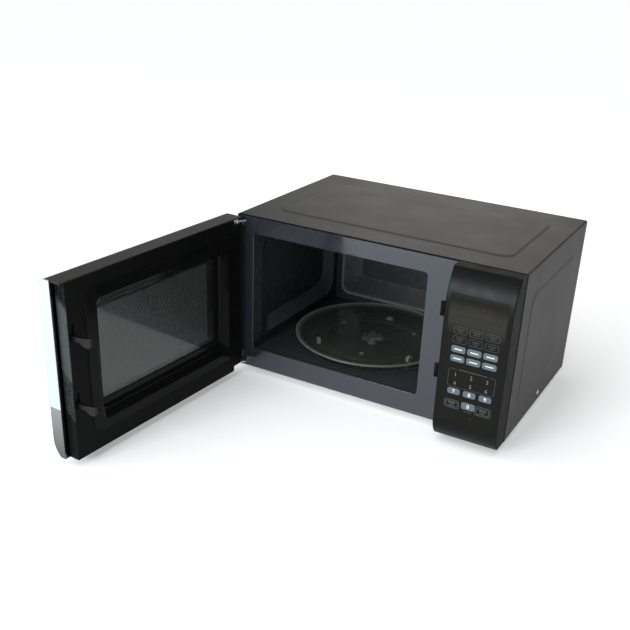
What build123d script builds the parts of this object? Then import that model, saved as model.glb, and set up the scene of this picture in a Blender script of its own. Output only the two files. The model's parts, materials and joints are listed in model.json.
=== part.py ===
"""Free-standing microwave oven with a side-hinged pull door, modelled with the door standing open.

Millimetres. +X is to the right and +Y to the back, seen by a person in front of the oven, and +Z is up.
The origin lies on the worktop, under the middle of the cabinet.
"""

import os
from math import cos, radians, sin

from build123d import *

# Sheet metal and fits
SHEET = 1.0  # steel sheet
FIT = 0.2  # gap beside a sheet edge
PLAY = 0.3  # gap between pieces that move past each other
RUNNING = 0.05  # radial gap of a shaft in its bore

# Oven cavity, inside faces
CAVITY_W = 290.0
CAVITY_H = 198.0
CAVITY_D = 280.0

# Cabinet around the cavity
JACKET_LEFT = 26.0  # cavity to the left face of the case
COMPARTMENT_W = 136.0  # cavity to the right face of the case
FLOOR_RISE = 30.0  # case bottom to the cavity floor
HEAD_ROOM = 23.0  # cavity ceiling to the case top
BACK_GAP = 12.0  # cavity back to the back of the case
CASE_EDGE_R = 3.0
CASE_LIP = 11.0  # inward lip at the back of the case
EMBOSS_H = 1.0
EMBOSS_R = 20.0
EMBOSS_SLOPE = 4.5  # width of the sloping side of a raised field
TOP_EMBOSS_SIDE = 38.0  # case edge to the raised field, left and right
TOP_EMBOSS_FRONT = 47.0
TOP_EMBOSS_BACK = 55.0
SIDE_EMBOSS_END = 36.0
SIDE_EMBOSS_LOW = 37.0
SIDE_EMBOSS_HIGH = 40.0
FOOT_H = 11.0
FOOT_R = 12.0
FOOT_TIP_R = 10.0
FOOT_INSET_X = 40.0
FOOT_INSET_Y = 30.0
BASE_FLANGE_H = 24.0
BASE_VENT_W = 3.0
BASE_VENT_L = 22.0
BASE_VENT_PITCH = 7.0
BASE_VENT_COUNT = 10

# Front plate
OPENING_LIP_SIDE = 2.5  # how far the plate stands over the cavity's side walls
OPENING_LIP_END = 4.5  # the same at the floor and the ceiling
OPENING_R = 5.0
OPENING_EDGE_R = 0.7
PLATE_RISE = 2.0
PLATE_GAP = 1.2  # front plate to the inside of the case
LATCH_SLOT_W = 10.0
WIRING_HOLE_W = 30.0
WIRING_HOLE_H = 60.0

# Pressed fields of the cavity
LEFT_PAN_D = 238.0
LEFT_PAN_H = 168.0
LEFT_PAN_R = 25.0
LEFT_PAN_DEPTH = 12.0
LEFT_PAN_SLOPE = 20.0
BACK_PAN_INSET = 10.0
BACK_PAN_R = 15.0
BACK_PAN_DEPTH = 8.0
BACK_PAN_SLOPE = 36.0
VENT_HOLE_R = 1.5
VENT_PITCH = 6.0
VENT_COLUMNS = 3
VENT_ROWS = 28
VENT_FROM_FRONT = 15.0
LAMP_HOLE_COUNT = 5

# Rounded front shared by the door and the control panel
NOSE_DEPTH = 38.5
NOSE_TOP_FLAT = 20.0
NOSE_TOP_CURVE = 55.0
NOSE_CHIN_FLAT = 27.0
NOSE_CHIN_CURVE = 26.0
NOSE_MARGIN = 0.3  # case edge to the nose, above and below
NOSE_END_R = 1.5

# Control panel
PANEL_W = 94.5
PANEL_SIDE_GAP = 0.5
PANEL_WALL = 2.5
PANEL_FACE = 3.0
MEMBRANE_T = 0.6
MEMBRANE_SIDE = 7.0  # panel edge to the key membrane
MEMBRANE_LOW = 33.0
MEMBRANE_HIGH = 32.0
DISPLAY_W = 52.0
DISPLAY_H = 24.0
DISPLAY_DROP = 6.0  # membrane top to the display window
BOARD_T = 1.6
BOARD_SETBACK = 20.0  # board face to the front plate
BOARD_MARGIN = 6.0
BOARD_POST_R = 3.0
RELAY_SIZE = 14.0
RELAY_H = 20.0

# Door
DOOR_OPEN = 93.3  # degrees from closed, the rest pose
DOOR_GAP = 1.0  # to the control panel
DOOR_HINGE_GAP = 0.8  # case side to the door end
DOOR_RIM_GAP = 2.5  # front plate to the door rim, closed
CHOKE_GAP = 1.0  # front plate to the choke cover, closed
SHELL_BACK = 19.0  # front plate to the joint of shell and frame
SHELL_WALL = 2.2
SHELL_FACE = 5.0
DOOR_TOP_R = 12.0
TRIM_T = 1.5
GRIP_W = 8.0  # lip that the fingers pull
FRAME_INSET = 0.5
FRAME_WALL = 2.5
GLASS_T = 3.0
GLASS_SIDE = 18.0
GLASS_LOW = 30.0
GLASS_HIGH = 18.0
GLASS_LEDGE = 12.0

# Door inside
CHOKE_HINGE = 12.2  # cavity opening to the choke outline, at the hinge side
CHOKE_FREE = 4.5
CHOKE_LOW = 7.5
CHOKE_HIGH = 6.5
CHOKE_R = 18.0
CHOKE_EDGE_R = 1.2
CHOKE_WALL = 3.0
BORDER_HINGE = 16.2  # choke outline to the funnel mouth, at the hinge side
BORDER_FREE = 16.5
BORDER_LOW = 13.0
BORDER_HIGH = 16.0
FUNNEL_R = 12.0
FUNNEL_EDGE_R = 2.5
FUNNEL_DEPTH = 7.3
FUNNEL_BACK = 1.5
STEP_SHARE = 0.63  # place of the step between the mouth and the ledge
STEP_DEPTH = 4.7
STEP_W = 1.0
WINDOW_HINGE = 30.1  # cavity opening to the see-through window, at the hinge side
WINDOW_FREE = 21.2
WINDOW_LOW = 31.8
WINDOW_HIGH = 23.2
WINDOW_R = 4.0
LEDGE_HINGE = 8.5  # window to the foot of the funnel, at the hinge side
LEDGE_FREE = 3.0
LEDGE_LOW = 7.7
LEDGE_HIGH = 1.0
LEDGE_R = 8.0
PANEL_WINDOW_GAP = 2.0  # window edge to the edge of the inner panel's hole
SCREEN_LAP = 3.0
FILM_LAP = 3.0
INNER_PANEL_RIM = 8.0
CHOKE_FLANGE = 6.0
FILM_T = 0.3

# Hinges
HINGE_X = 3.0  # case side to the hinge axis
HINGE_Y = 14.0  # front plate to the hinge axis
PIN_R = 2.0
PIN_L = 11.0
BUSH_R = 3.6
BUSH_L = 10.0
BUSH_FLANGE_R = 4.5
BUSH_FLANGE_T = 1.2
BRACKET_T = 2.0
BRACKET_EYE_R = 4.4
BRACKET_ARM_W = 10.0
BRACKET_ARM_IN = 2.5  # hinge axis to the near side of the arm
BRACKET_TAB_H = 20.0
HINGE_NOTCH_W = 17.0
HINGE_NOTCH_H = 8.5
HINGE_BLOCK_W = 21.0
HINGE_BLOCK_H = 20.0

# Latch
HOOK_TOP = 178.2  # case bottom to the root top of the upper hook
HOOK_PITCH = 94.7
HOOK_T = 4.0
HOOK_ROOT_H = 8.5
HOOK_NECK_L = 12.0  # door rim to the narrowest place
HOOK_NECK_H = 6.0
HOOK_RISE = 4.0  # root top to the top of the tip
HOOK_TIP_H = 10.0
HOOK_TIP_L = 4.0
HOOK_BARB = 10.5  # root top to the foot of the barb
HOOK_BARB_L = 7.0
HOOK_REACH = 31.0  # door rim to the hook tip
HOOK_FROM_END = 16.0  # door end to the hook
LATCH_LIFT = 6.0
LATCH_SLOT_SPARE = 8.0  # slot above the raised hook
LATCH_SLOT_BELOW = 1.5
LATCH_SLOT_ABOVE = 1.0
BAR_W = 6.0
BAR_T = 4.7
BAR_ABOVE = 13.0
BAR_BELOW = 10.0
GUIDE_T = 2.5
GUIDE_L = 50.0
SEAT_T = 3.0
SPRING_L = 22.0
SPRING_R = 1.8
SPRING_WIRE_R = 0.35
SPRING_PITCH = 2.6

# Interlock switches behind the latch slots
INTERLOCK_PLATE_T = 2.0
INTERLOCK_PLATE_D = 48.0
INTERLOCK_FLANGE_W = 14.0
INTERLOCK_MARGIN = 12.0
SWITCH_T = 10.0
SWITCH_D = 16.0
SWITCH_H = 28.0
PLUNGER_R = 1.5
PLUNGER_OUT = 2.5
PLUNGER_IN = 6.0
PLUNGER_TRAVEL = 1.2
HOOK_CLEAR = 1.0  # hook tip to the plunger with the door closed

# Turntable
PLATE_R = 127.5
PLATE_T = 4.0
PLATE_RIM_H = 7.0
PLATE_RIM_W = 3.5
PLATE_FLAT_R = 112.0
PLATE_PIP_R = 4.0
PLATE_PIP_H = 2.5
PLATE_PIP_CIRCLE_R = 71.0
PLATE_PIP_TURN = 41.5  # degrees from +X to the first pip
PLATE_BACK = 2.0  # how far the turntable sits behind the middle of the cavity
FLOOR_PAN_R = 108.0
FLOOR_PAN_DEPTH = 4.5
FLOOR_PAN_SLOPE = 6.0
ROLLER_R = 6.2
ROLLER_W = 6.0
ROLLER_COUNT = 3
ROLLER_TURN = 97.0  # degrees from +X to the first roller
ROLLER_CIRCLE_R = 90.0
RING_R = 79.0
RING_W = 6.0
RING_H = 5.0
AXLE_R = 2.0
AXLE_HEAD_R = 3.2
AXLE_HEAD_T = 1.5
COUPLER_R = 9.0
COUPLER_LOBE_R = 5.0
COUPLER_LOBE_REACH = 15.0
COUPLER_LOBE_T = 3.0
DRIVE_PIP_R = 2.0
DRIVE_PIP_H = 2.0
MOTOR_R = 25.0
MOTOR_H = 15.0
MOTOR_EAR_W = 64.0
MOTOR_EAR_D = 12.0
SHAFT_R = 3.0
SHAFT_IN = 10.0
FLOOR_HOLE_R = 6.0

# Microwave source
WAVEGUIDE_DEPTH = 22.0
WAVEGUIDE_L = 130.0
WAVEGUIDE_H = 48.0
WAVEGUIDE_Y = 180.0  # case front to the waveguide's middle
WAVEGUIDE_Z = 150.0  # case bottom to the waveguide's middle
MICA_L = 92.0
MICA_H = 62.0
MICA_T = 0.5
PORT_L = 76.0
PORT_H = 40.0
YOKE_X = 56.0
YOKE_Y = 92.0
YOKE_Z = 80.0
YOKE_T = 3.0
FIN_COUNT = 6
FIN_T = 1.2
TUBE_R = 20.0
ANTENNA_R = 7.5
ANTENNA_L = 18.0
FILTER_BOX_X = 24.0
FILTER_BOX = 54.0

# High-voltage supply
CORE_X = 88.0
CORE_Y = 62.0
CORE_Z = 72.0
CORE_WINDOW_X = 50.0
CORE_WINDOW_Z = 38.0
CORE_LIMB_Z = 10.0
COIL_Y = 92.0
COIL_GAP = 0.5
SUPPLY_Y = 190.0  # case front to the transformer's middle
CAPACITOR_X = 52.0
CAPACITOR_Y = 34.0
CAPACITOR_Z = 88.0
CAPACITOR_AT_Y = 104.0
TERMINAL_R = 3.0
TERMINAL_H = 9.0
DIODE_R = 4.0
DIODE_L = 18.0
DIODE_GAP = 10.0
DIODE_LUG_H = 4.0

# Cooling
FAN_R = 50.0
FAN_Z = 160.0
FAN_DEPTH = 20.0
FAN_HUB_R = 14.0
FAN_BLADES = 5
FAN_BLADE_T = 1.6
FAN_PITCH = 35.0
FAN_TIP_GAP = 3.0
SHROUD_WALL = 2.0
SHROUD_DEPTH = 29.0
SHROUD_MARGIN = 3.0
STRAP_T = 4.0
STRAP_W = 12.0
FAN_SHAFT_R = 2.5
STACK_X = 60.0
STACK_Z = 46.0
STACK_Y = 16.0
FAN_COIL_X = 22.0
FAN_COIL_Z = 26.0
FAN_COIL_Y = 26.0
REAR_VENT_W = 4.0
REAR_VENT_L = 30.0
REAR_VENT_PITCH_X = 8.0
REAR_VENT_PITCH_Z = 36.0
REAR_VENT_COLUMNS = 11
REAR_VENT_ROWS = 2

# Small electrical pieces
FILTER_BOARD_X = 70.0
FILTER_BOARD_Y = 40.0
FILTER_BOARD_Z = 12.0  # base plate to the board
FILTER_POST_R = 2.5
CHOKE_COIL_R = 11.0
CHOKE_COIL_H = 16.0
FUSE_R = 3.5
FUSE_SEAT = 3.0  # board to the fuse's axis
FUSE_L = 30.0
GLAND_R = 8.0
GLAND_BORE_R = 4.0
GLAND_FLANGE_R = 12.0
GLAND_FLANGE_T = 3.0
GLAND_FROM_RIGHT = 40.0
GLAND_Z = 70.0
CUTOUT_R = 8.0
CUTOUT_H = 9.0
LAMP_Y = 74.0
LAMP_Z = 205.0
LAMP_BOX = 34.0
LAMP_BOX_X = 30.0
LAMP_WALL = 1.2
BULB_R = 8.0
BULB_L = 20.0
SCREW_R = 1.9
SCREW_HOLE_R = 2.1
SCREW_HEAD_R = 3.6
SCREW_HEAD_H = 2.2
SCREW_L = 8.0
SIDE_SCREW_Z = 16.0

# Overall sizes
CASE_W = JACKET_LEFT + CAVITY_W + COMPARTMENT_W
CASE_H = FLOOR_RISE + CAVITY_H + HEAD_ROOM
CASE_D = SHEET + CAVITY_D + BACK_GAP

# Planes of the cabinet
X_LEFT = -CASE_W / 2
X_RIGHT = CASE_W / 2
Y_FRONT = -CASE_D / 2
Y_BACK = CASE_D / 2
Z_BASE = FOOT_H
Z_TOP = FOOT_H + CASE_H
Z_MID = (Z_BASE + Z_TOP) / 2

# Planes of the cavity
CAVITY_X = (X_LEFT + JACKET_LEFT, X_RIGHT - COMPARTMENT_W)
CAVITY_Y = (Y_FRONT + SHEET, Y_FRONT + SHEET + CAVITY_D)
CAVITY_Z = (Z_BASE + FLOOR_RISE, Z_TOP - HEAD_ROOM)
CAVITY_MID = tuple((a + b) / 2 for a, b in (CAVITY_X, CAVITY_Y, CAVITY_Z))
OPENING_X = (CAVITY_X[0] + OPENING_LIP_SIDE, CAVITY_X[1] - OPENING_LIP_SIDE)
OPENING_Z = (CAVITY_Z[0] + OPENING_LIP_END, CAVITY_Z[1] - OPENING_LIP_END)

# Component compartment
BAY_X = (CAVITY_X[1] + SHEET, X_RIGHT - SHEET)
BAY_MID = (BAY_X[0] + BAY_X[1]) / 2
BAY_FLOOR = Z_BASE + SHEET
REAR_INNER = Y_BACK - 2 * SHEET

# Front pieces
NOSE_Z = (Z_BASE + NOSE_MARGIN, Z_TOP - NOSE_MARGIN)
PANEL_TOP = (NOSE_TOP_FLAT, NOSE_TOP_CURVE)
DOOR_TOP = (NOSE_DEPTH - DOOR_TOP_R, DOOR_TOP_R)
PANEL_X = (X_RIGHT - PANEL_SIDE_GAP - PANEL_W, X_RIGHT - PANEL_SIDE_GAP)
DOOR_X = (X_LEFT + DOOR_HINGE_GAP, PANEL_X[0] - DOOR_GAP)
FRAME_X = (DOOR_X[0] + FRAME_INSET, DOOR_X[1] - GRIP_W)
FRAME_Y = (Y_FRONT - SHELL_BACK, Y_FRONT - DOOR_RIM_GAP)
FRAME_Z = (NOSE_Z[0] + FRAME_INSET, NOSE_Z[1] - SHELL_WALL - FRAME_INSET)
HINGE_AXIS = (X_LEFT + HINGE_X, Y_FRONT - HINGE_Y)
HOOK_AT_X = DOOR_X[1] - HOOK_FROM_END
HOOK_TOPS = (Z_BASE + HOOK_TOP - HOOK_PITCH, Z_BASE + HOOK_TOP)
HOOK_TIP_Y = FRAME_Y[1] + HOOK_REACH

# Turntable levels
TABLE_X = CAVITY_MID[0]
TABLE_Y = CAVITY_MID[1] + PLATE_BACK
PAN_FLOOR = CAVITY_Z[0] - FLOOR_PAN_DEPTH
ROLLER_Z = PAN_FLOOR + PLAY + ROLLER_R
PLATE_Z = ROLLER_Z + ROLLER_R + PLAY
MOTOR_TOP = PAN_FLOOR - SHEET

os.makedirs("parts", exist_ok=True)

ALONG_X = (0, 90, 0)
ALONG_Y = (90, 0, 0)


def span_box(x, y, z, mode=Mode.ADD):
    """Box between pairs of limits along X, Y and Z, in the part being made."""
    with Locations(((x[0] + x[1]) / 2, (y[0] + y[1]) / 2, (z[0] + z[1]) / 2)):
        Box(x[1] - x[0], y[1] - y[0], z[1] - z[0], mode=mode)


def around(middle, size):
    """Limits of a length about its middle."""
    return (middle - size / 2, middle + size / 2)


def grown(limits, margin):
    """Limits moved outward by a margin."""
    return (limits[0] - margin, limits[1] + margin)


def upright(y):
    """Plane across the oven at depth y, with X and Z as its axes. Positive extrusion comes forward."""
    return Plane.XZ.offset(-y)


def between(outer, inner, share):
    """Limits that lie a share of the way from outer to inner limits."""
    return tuple(a + share * (b - a) for a, b in zip(outer, inner))


def edges_within(edges, x, z):
    """The edges whose middle lies between limits along X and Z, or on them."""
    x = grown(x, FIT)
    z = grown(z, FIT)
    return [edge for edge in edges if x[0] < edge.center().X < x[1] and z[0] < edge.center().Z < z[1]]


def pressed_field(plane, base, top, depth):
    """Solid between two rounded rectangles, each given as width, height and corner radius."""
    with BuildPart() as field:
        with BuildSketch(plane):
            RectangleRounded(*base)
        with BuildSketch(plane.offset(depth)):
            RectangleRounded(*top)
        loft()
    return field.part


def raised_field(plane, size):
    """Solid of a low raised field of the case, with soft sloping sides."""
    top = [length - 2 * EMBOSS_SLOPE for length in size]
    return pressed_field(plane, (*size, EMBOSS_R), (*top, EMBOSS_R - EMBOSS_SLOPE), EMBOSS_H)


def rounded_block(x, y, z, corner_r):
    """Block between limits along X, Y and Z, rounded along its edges from front to back."""
    with BuildPart() as block:
        span_box(x, y, z)
        fillet(block.edges().filter_by(Axis.Y), corner_r)
    return block.part


def tapered_recess(front, back):
    """Solid between two upright rounded rectangles, each given as y, X limits, Z limits and radius."""
    with BuildPart() as recess:
        for y, x, z, corner_r in (front, back):
            with BuildSketch(upright(y)):
                with Locations(((x[0] + x[1]) / 2, (z[0] + z[1]) / 2)):
                    RectangleRounded(x[1] - x[0], z[1] - z[0], corner_r)
        loft()
    return recess.part


def nose(x, y_back, face_inset=0.0, rim_inset=0.0, end_r=0.0, top=PANEL_TOP):
    """Solid behind the rounded front, between two places along X, from the front back to y_back.

    The upper curve starts at the depth top[0] and comes down by top[1].
    """
    face = Y_FRONT - NOSE_DEPTH + face_inset
    low = NOSE_Z[0] + rim_inset
    high = NOSE_Z[1] - rim_inset
    chin = Y_FRONT - NOSE_CHIN_FLAT + rim_inset
    brow = Y_FRONT - top[0] + rim_inset
    with BuildPart() as body:
        with BuildSketch(Plane.YZ.offset(x[0])):
            with BuildLine():
                Line((y_back, high), (y_back, low))
                Line((y_back, low), (chin, low))
                TangentArc((face, low + NOSE_CHIN_CURVE), (chin, low), tangent=(0, -1))
                Line((face, low + NOSE_CHIN_CURVE), (face, high - top[1]))
                TangentArc((face, high - top[1]), (brow, high), tangent=(0, 1))
                Line((brow, high), (y_back, high))
            make_face()
        extrude(amount=x[1] - x[0])
        if end_r > 0:
            ends = body.edges().group_by(Axis.X)
            fillet([edge for edge in ends[0] + ends[-1] if edge.center().Y < brow], end_r)
    return body.part


def nose_skin(x, z, depth):
    """Thin sheet that follows the rounded front between limits along X and Z."""
    outer = nose(x, Y_FRONT)
    inner = nose(grown(x, SHEET), Y_FRONT, face_inset=depth)
    with BuildPart() as skin:
        add(outer)
        add(inner, mode=Mode.SUBTRACT)
        span_box(grown(x, SHEET), (Y_FRONT - 2 * NOSE_DEPTH, Y_FRONT), z, mode=Mode.INTERSECT)
    return skin.part


def write(piece, name):
    """Label a piece and write it."""
    piece.label = name
    export_step(piece, f"parts/{name}.step")


SWING_OPEN = Pos(*HINGE_AXIS, 0) * Rot(0, 0, -DOOR_OPEN) * Pos(-HINGE_AXIS[0], -HINGE_AXIS[1], 0)


def write_on_door(piece, name):
    """Turn a piece of the closed door to the open rest pose and write it."""
    write(SWING_OPEN * piece, name)


# Outer case: one sheet over the left side, the top and the right side
TOP_FIELD = (
    CASE_W - 2 * TOP_EMBOSS_SIDE,
    CASE_D - TOP_EMBOSS_FRONT - TOP_EMBOSS_BACK,
)
SIDE_FIELD = (
    CASE_D - 2 * SIDE_EMBOSS_END,
    CASE_H - SIDE_EMBOSS_LOW - SIDE_EMBOSS_HIGH,
)
TOP_FIELD_Y = (TOP_EMBOSS_FRONT - TOP_EMBOSS_BACK) / 2
SIDE_FIELD_Z = Z_MID + (SIDE_EMBOSS_LOW - SIDE_EMBOSS_HIGH) / 2
SIDE_SCREW_AT_Z = Z_BASE + SIDE_SCREW_Z
REAR_SCREW_X = (X_LEFT + CASE_LIP / 2 + SHEET, X_RIGHT - CASE_LIP / 2 - SHEET)
REAR_SCREW_Z = (Z_BASE + BASE_FLANGE_H + CASE_LIP, Z_TOP - CASE_LIP - SIDE_EMBOSS_HIGH)
TOP_PLANE = Plane((0, TOP_FIELD_Y, Z_TOP))
LEFT_PLANE = Plane((X_LEFT, 0, SIDE_FIELD_Z), (0, 1, 0), (-1, 0, 0))
RIGHT_PLANE = Plane((X_RIGHT, 0, SIDE_FIELD_Z), (0, 1, 0), (1, 0, 0))
CASE_FIELDS = ((TOP_PLANE, TOP_FIELD), (LEFT_PLANE, SIDE_FIELD), (RIGHT_PLANE, SIDE_FIELD))
field_skins = [raised_field(plane, size) for plane, size in CASE_FIELDS]
field_hollows = [raised_field(plane.offset(-SHEET), size) for plane, size in CASE_FIELDS]

with BuildPart() as outer_case:
    with BuildSketch(upright(Y_FRONT)):
        with Locations((0, Z_MID)):
            outline = Rectangle(CASE_W, CASE_H)
        fillet(outline.vertices().group_by(Axis.Y)[-1], CASE_EDGE_R)
    extrude(amount=-CASE_D)
    with BuildSketch(upright(Y_FRONT)):
        with Locations((0, Z_MID - SHEET)):
            outline = Rectangle(CASE_W - 2 * SHEET, CASE_H)
        fillet(outline.vertices().group_by(Axis.Y)[-1], CASE_EDGE_R - SHEET)
    extrude(amount=-CASE_D, mode=Mode.SUBTRACT)
    with BuildSketch(upright(Y_BACK)):
        with Locations((0, Z_MID)):
            outline = Rectangle(CASE_W - SHEET, CASE_H - SHEET)
        with Locations((0, Z_MID - CASE_LIP)):
            Rectangle(CASE_W - 2 * CASE_LIP, CASE_H, mode=Mode.SUBTRACT)
        fillet(outline.vertices().group_by(Axis.Y)[-1], CASE_EDGE_R - SHEET / 2)
    extrude(amount=SHEET)
    add(field_skins)
    add(field_hollows, mode=Mode.SUBTRACT)
    with Locations((0, 0, SIDE_SCREW_AT_Z)):
        Cylinder(SCREW_HOLE_R, 2 * CASE_W, rotation=ALONG_X, mode=Mode.SUBTRACT)
    with Locations(*[(x, Y_BACK, z) for x in REAR_SCREW_X for z in REAR_SCREW_Z]):
        Cylinder(SCREW_HOLE_R, 4 * SHEET, rotation=ALONG_Y, mode=Mode.SUBTRACT)
write(outer_case.part, "outer_case")

# Base plate with its side flanges and the vents under the components
BASE_X = grown((X_LEFT, X_RIGHT), -SHEET)
BASE_Y = (Y_FRONT + SHEET, REAR_INNER)
with BuildPart() as base_plate:
    span_box(BASE_X, BASE_Y, (Z_BASE, Z_BASE + SHEET))
    for x in ((BASE_X[0], BASE_X[0] + SHEET), (BASE_X[1] - SHEET, BASE_X[1])):
        span_box(x, BASE_Y, (Z_BASE, Z_BASE + BASE_FLANGE_H))
    with Locations((BAY_MID, Y_FRONT + CAPACITOR_AT_Y - CAPACITOR_X, Z_BASE + SHEET / 2)):
        with GridLocations(BASE_VENT_PITCH, 0, BASE_VENT_COUNT, 1):
            Box(BASE_VENT_W, BASE_VENT_L, 2 * SHEET, mode=Mode.SUBTRACT)
    with Locations((0, 0, SIDE_SCREW_AT_Z)):
        Cylinder(SCREW_HOLE_R, 2 * CASE_W, rotation=ALONG_X, mode=Mode.SUBTRACT)
write(base_plate.part, "base_plate")

# Feet
with BuildPart() as feet:
    with Locations((0, 0, FOOT_H / 2)):
        with GridLocations(CASE_W - 2 * FOOT_INSET_X, CASE_D - 2 * FOOT_INSET_Y, 2, 2):
            Cone(FOOT_TIP_R, FOOT_R, FOOT_H)
write(feet.part, "feet")

# Rear panel with the fan vents and the hole for the mains gland
FAN_X = BAY_MID
FAN_AT_Z = Z_BASE + FAN_Z
GLAND_AT = (X_RIGHT - GLAND_FROM_RIGHT, Z_BASE + GLAND_Z)
REAR_X = grown((X_LEFT, X_RIGHT), -SHEET - FIT)
REAR_Z = (Z_BASE + SHEET, Z_TOP - SHEET - FIT)
with BuildPart() as rear_panel:
    with BuildSketch(upright(REAR_INNER)):
        with Locations(((REAR_X[0] + REAR_X[1]) / 2, (REAR_Z[0] + REAR_Z[1]) / 2)):
            sheet = Rectangle(REAR_X[1] - REAR_X[0], REAR_Z[1] - REAR_Z[0])
        fillet(sheet.vertices().group_by(Axis.Y)[-1], CASE_EDGE_R - SHEET)
        with Locations((FAN_X, FAN_AT_Z)):
            with GridLocations(REAR_VENT_PITCH_X, REAR_VENT_PITCH_Z, REAR_VENT_COLUMNS, REAR_VENT_ROWS):
                SlotOverall(REAR_VENT_L, REAR_VENT_W, rotation=90, mode=Mode.SUBTRACT)
        with Locations(GLAND_AT):
            Circle(GLAND_R + FIT, mode=Mode.SUBTRACT)
        with Locations(*[(x, z) for x in REAR_SCREW_X for z in REAR_SCREW_Z]):
            Circle(SCREW_HOLE_R, mode=Mode.SUBTRACT)
    extrude(amount=-SHEET)
write(rear_panel.part, "rear_panel")

# Screws at the sides and the back of the case
with BuildPart() as side_screws:
    for side in (-1, 1):
        with Locations((side * (CASE_W / 2 + SCREW_HEAD_H / 2), 0, SIDE_SCREW_AT_Z)):
            Cylinder(SCREW_HEAD_R, SCREW_HEAD_H, rotation=ALONG_X)
        with Locations((side * (CASE_W / 2 - SCREW_L / 2), 0, SIDE_SCREW_AT_Z)):
            Cylinder(SCREW_R, SCREW_L, rotation=ALONG_X)
    rims = side_screws.edges().filter_by(GeomType.CIRCLE).sort_by(Axis.X)
    fillet([rims[0], rims[-1]], SCREW_HEAD_H / 2)
write(side_screws.part, "side_screws")

with BuildPart() as rear_screws:
    with Locations(*[(x, Y_BACK + SCREW_HEAD_H / 2, z) for x in REAR_SCREW_X for z in REAR_SCREW_Z]):
        Cylinder(SCREW_HEAD_R, SCREW_HEAD_H, rotation=ALONG_Y)
    with Locations(*[(x, Y_BACK - SCREW_L / 2, z) for x in REAR_SCREW_X for z in REAR_SCREW_Z]):
        Cylinder(SCREW_R, SCREW_L, rotation=ALONG_Y)
    fillet(rear_screws.edges().filter_by(GeomType.CIRCLE).group_by(Axis.Y)[-1], SCREW_HEAD_H / 2)
write(rear_screws.part, "rear_screws")

# Front plate around the cavity mouth, with the slots for the hinge arms and the latch hooks
FRONT_X = grown((X_LEFT, X_RIGHT), -SHEET - PLATE_GAP)
FRONT_Z = (Z_BASE + PLATE_RISE, Z_TOP - SHEET - PLATE_GAP)
BUSH_LEVELS = (FRAME_Z[0] + HINGE_NOTCH_H, FRAME_Z[1] - HINGE_NOTCH_H)
ARM_LEVELS = tuple(
    level + way * (BUSH_FLANGE_T + PLAY + BRACKET_T / 2) for level, way in zip(BUSH_LEVELS, (-1, 1))
)
ARM_LEFT = HINGE_AXIS[0] + BRACKET_ARM_IN
ARM_X = (ARM_LEFT, ARM_LEFT + BRACKET_ARM_W)
SLOT_LOW = HOOK_BARB + LATCH_SLOT_BELOW
SLOT_H = SLOT_LOW + HOOK_RISE + LATCH_LIFT + LATCH_SLOT_ABOVE
with BuildPart() as front_plate:
    with BuildSketch(upright(Y_FRONT)):
        with Locations(((FRONT_X[0] + FRONT_X[1]) / 2, (FRONT_Z[0] + FRONT_Z[1]) / 2)):
            sheet = Rectangle(FRONT_X[1] - FRONT_X[0], FRONT_Z[1] - FRONT_Z[0])
        fillet(sheet.vertices().group_by(Axis.Y)[-1], CASE_EDGE_R - SHEET)
        with Locations((CAVITY_MID[0], CAVITY_MID[2])):
            RectangleRounded(
                OPENING_X[1] - OPENING_X[0], OPENING_Z[1] - OPENING_Z[0], OPENING_R, mode=Mode.SUBTRACT
            )
        with Locations(*[(HOOK_AT_X + HOOK_T / 2, top - SLOT_LOW + SLOT_H / 2) for top in HOOK_TOPS]):
            Rectangle(LATCH_SLOT_W, SLOT_H, mode=Mode.SUBTRACT)
        with Locations(*[((ARM_X[0] + ARM_X[1]) / 2, level) for level in ARM_LEVELS]):
            Rectangle(BRACKET_ARM_W + 2 * FIT, BRACKET_T + 2 * FIT, mode=Mode.SUBTRACT)
        with Locations(((PANEL_X[0] + PANEL_X[1]) / 2, Z_MID)):
            Rectangle(WIRING_HOLE_W, WIRING_HOLE_H, mode=Mode.SUBTRACT)
    extrude(amount=-SHEET)
    fillet(edges_within(front_plate.edges().group_by(Axis.Y)[0], OPENING_X, OPENING_Z), OPENING_EDGE_R)
write(front_plate.part, "front_plate")

# Hinge brackets: an arm through the front plate, a tab behind it and the pin
for name, level, way in zip(("lower", "upper"), ARM_LEVELS, (1, -1)):
    arm_z = around(level, BRACKET_T)
    with BuildPart() as hinge_bracket:
        with BuildSketch(Plane.XY.offset(arm_z[0])):
            with Locations(HINGE_AXIS):
                Circle(BRACKET_EYE_R)
            with Locations(((ARM_X[0] + ARM_X[1]) / 2, Y_FRONT - SHEET / 2)):
                Rectangle(BRACKET_ARM_W, SHEET)
            make_hull()
        extrude(amount=BRACKET_T)
        span_box(ARM_X, (Y_FRONT, Y_FRONT + SHEET), arm_z)
        tab_z = (arm_z[0], arm_z[0] + BRACKET_TAB_H) if way > 0 else (arm_z[1] - BRACKET_TAB_H, arm_z[1])
        span_box(ARM_X, (Y_FRONT + SHEET, Y_FRONT + SHEET + BRACKET_T), tab_z)
        with Locations((*HINGE_AXIS, level + way * (BRACKET_T + PIN_L) / 2)):
            Cylinder(PIN_R, PIN_L)
        rings = hinge_bracket.edges().filter_by(GeomType.CIRCLE).sort_by(Axis.Z)
        chamfer(rings[-1 if way > 0 else 0], PIN_R / 5)
    write(hinge_bracket.part, f"hinge_bracket_{name}")

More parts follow.
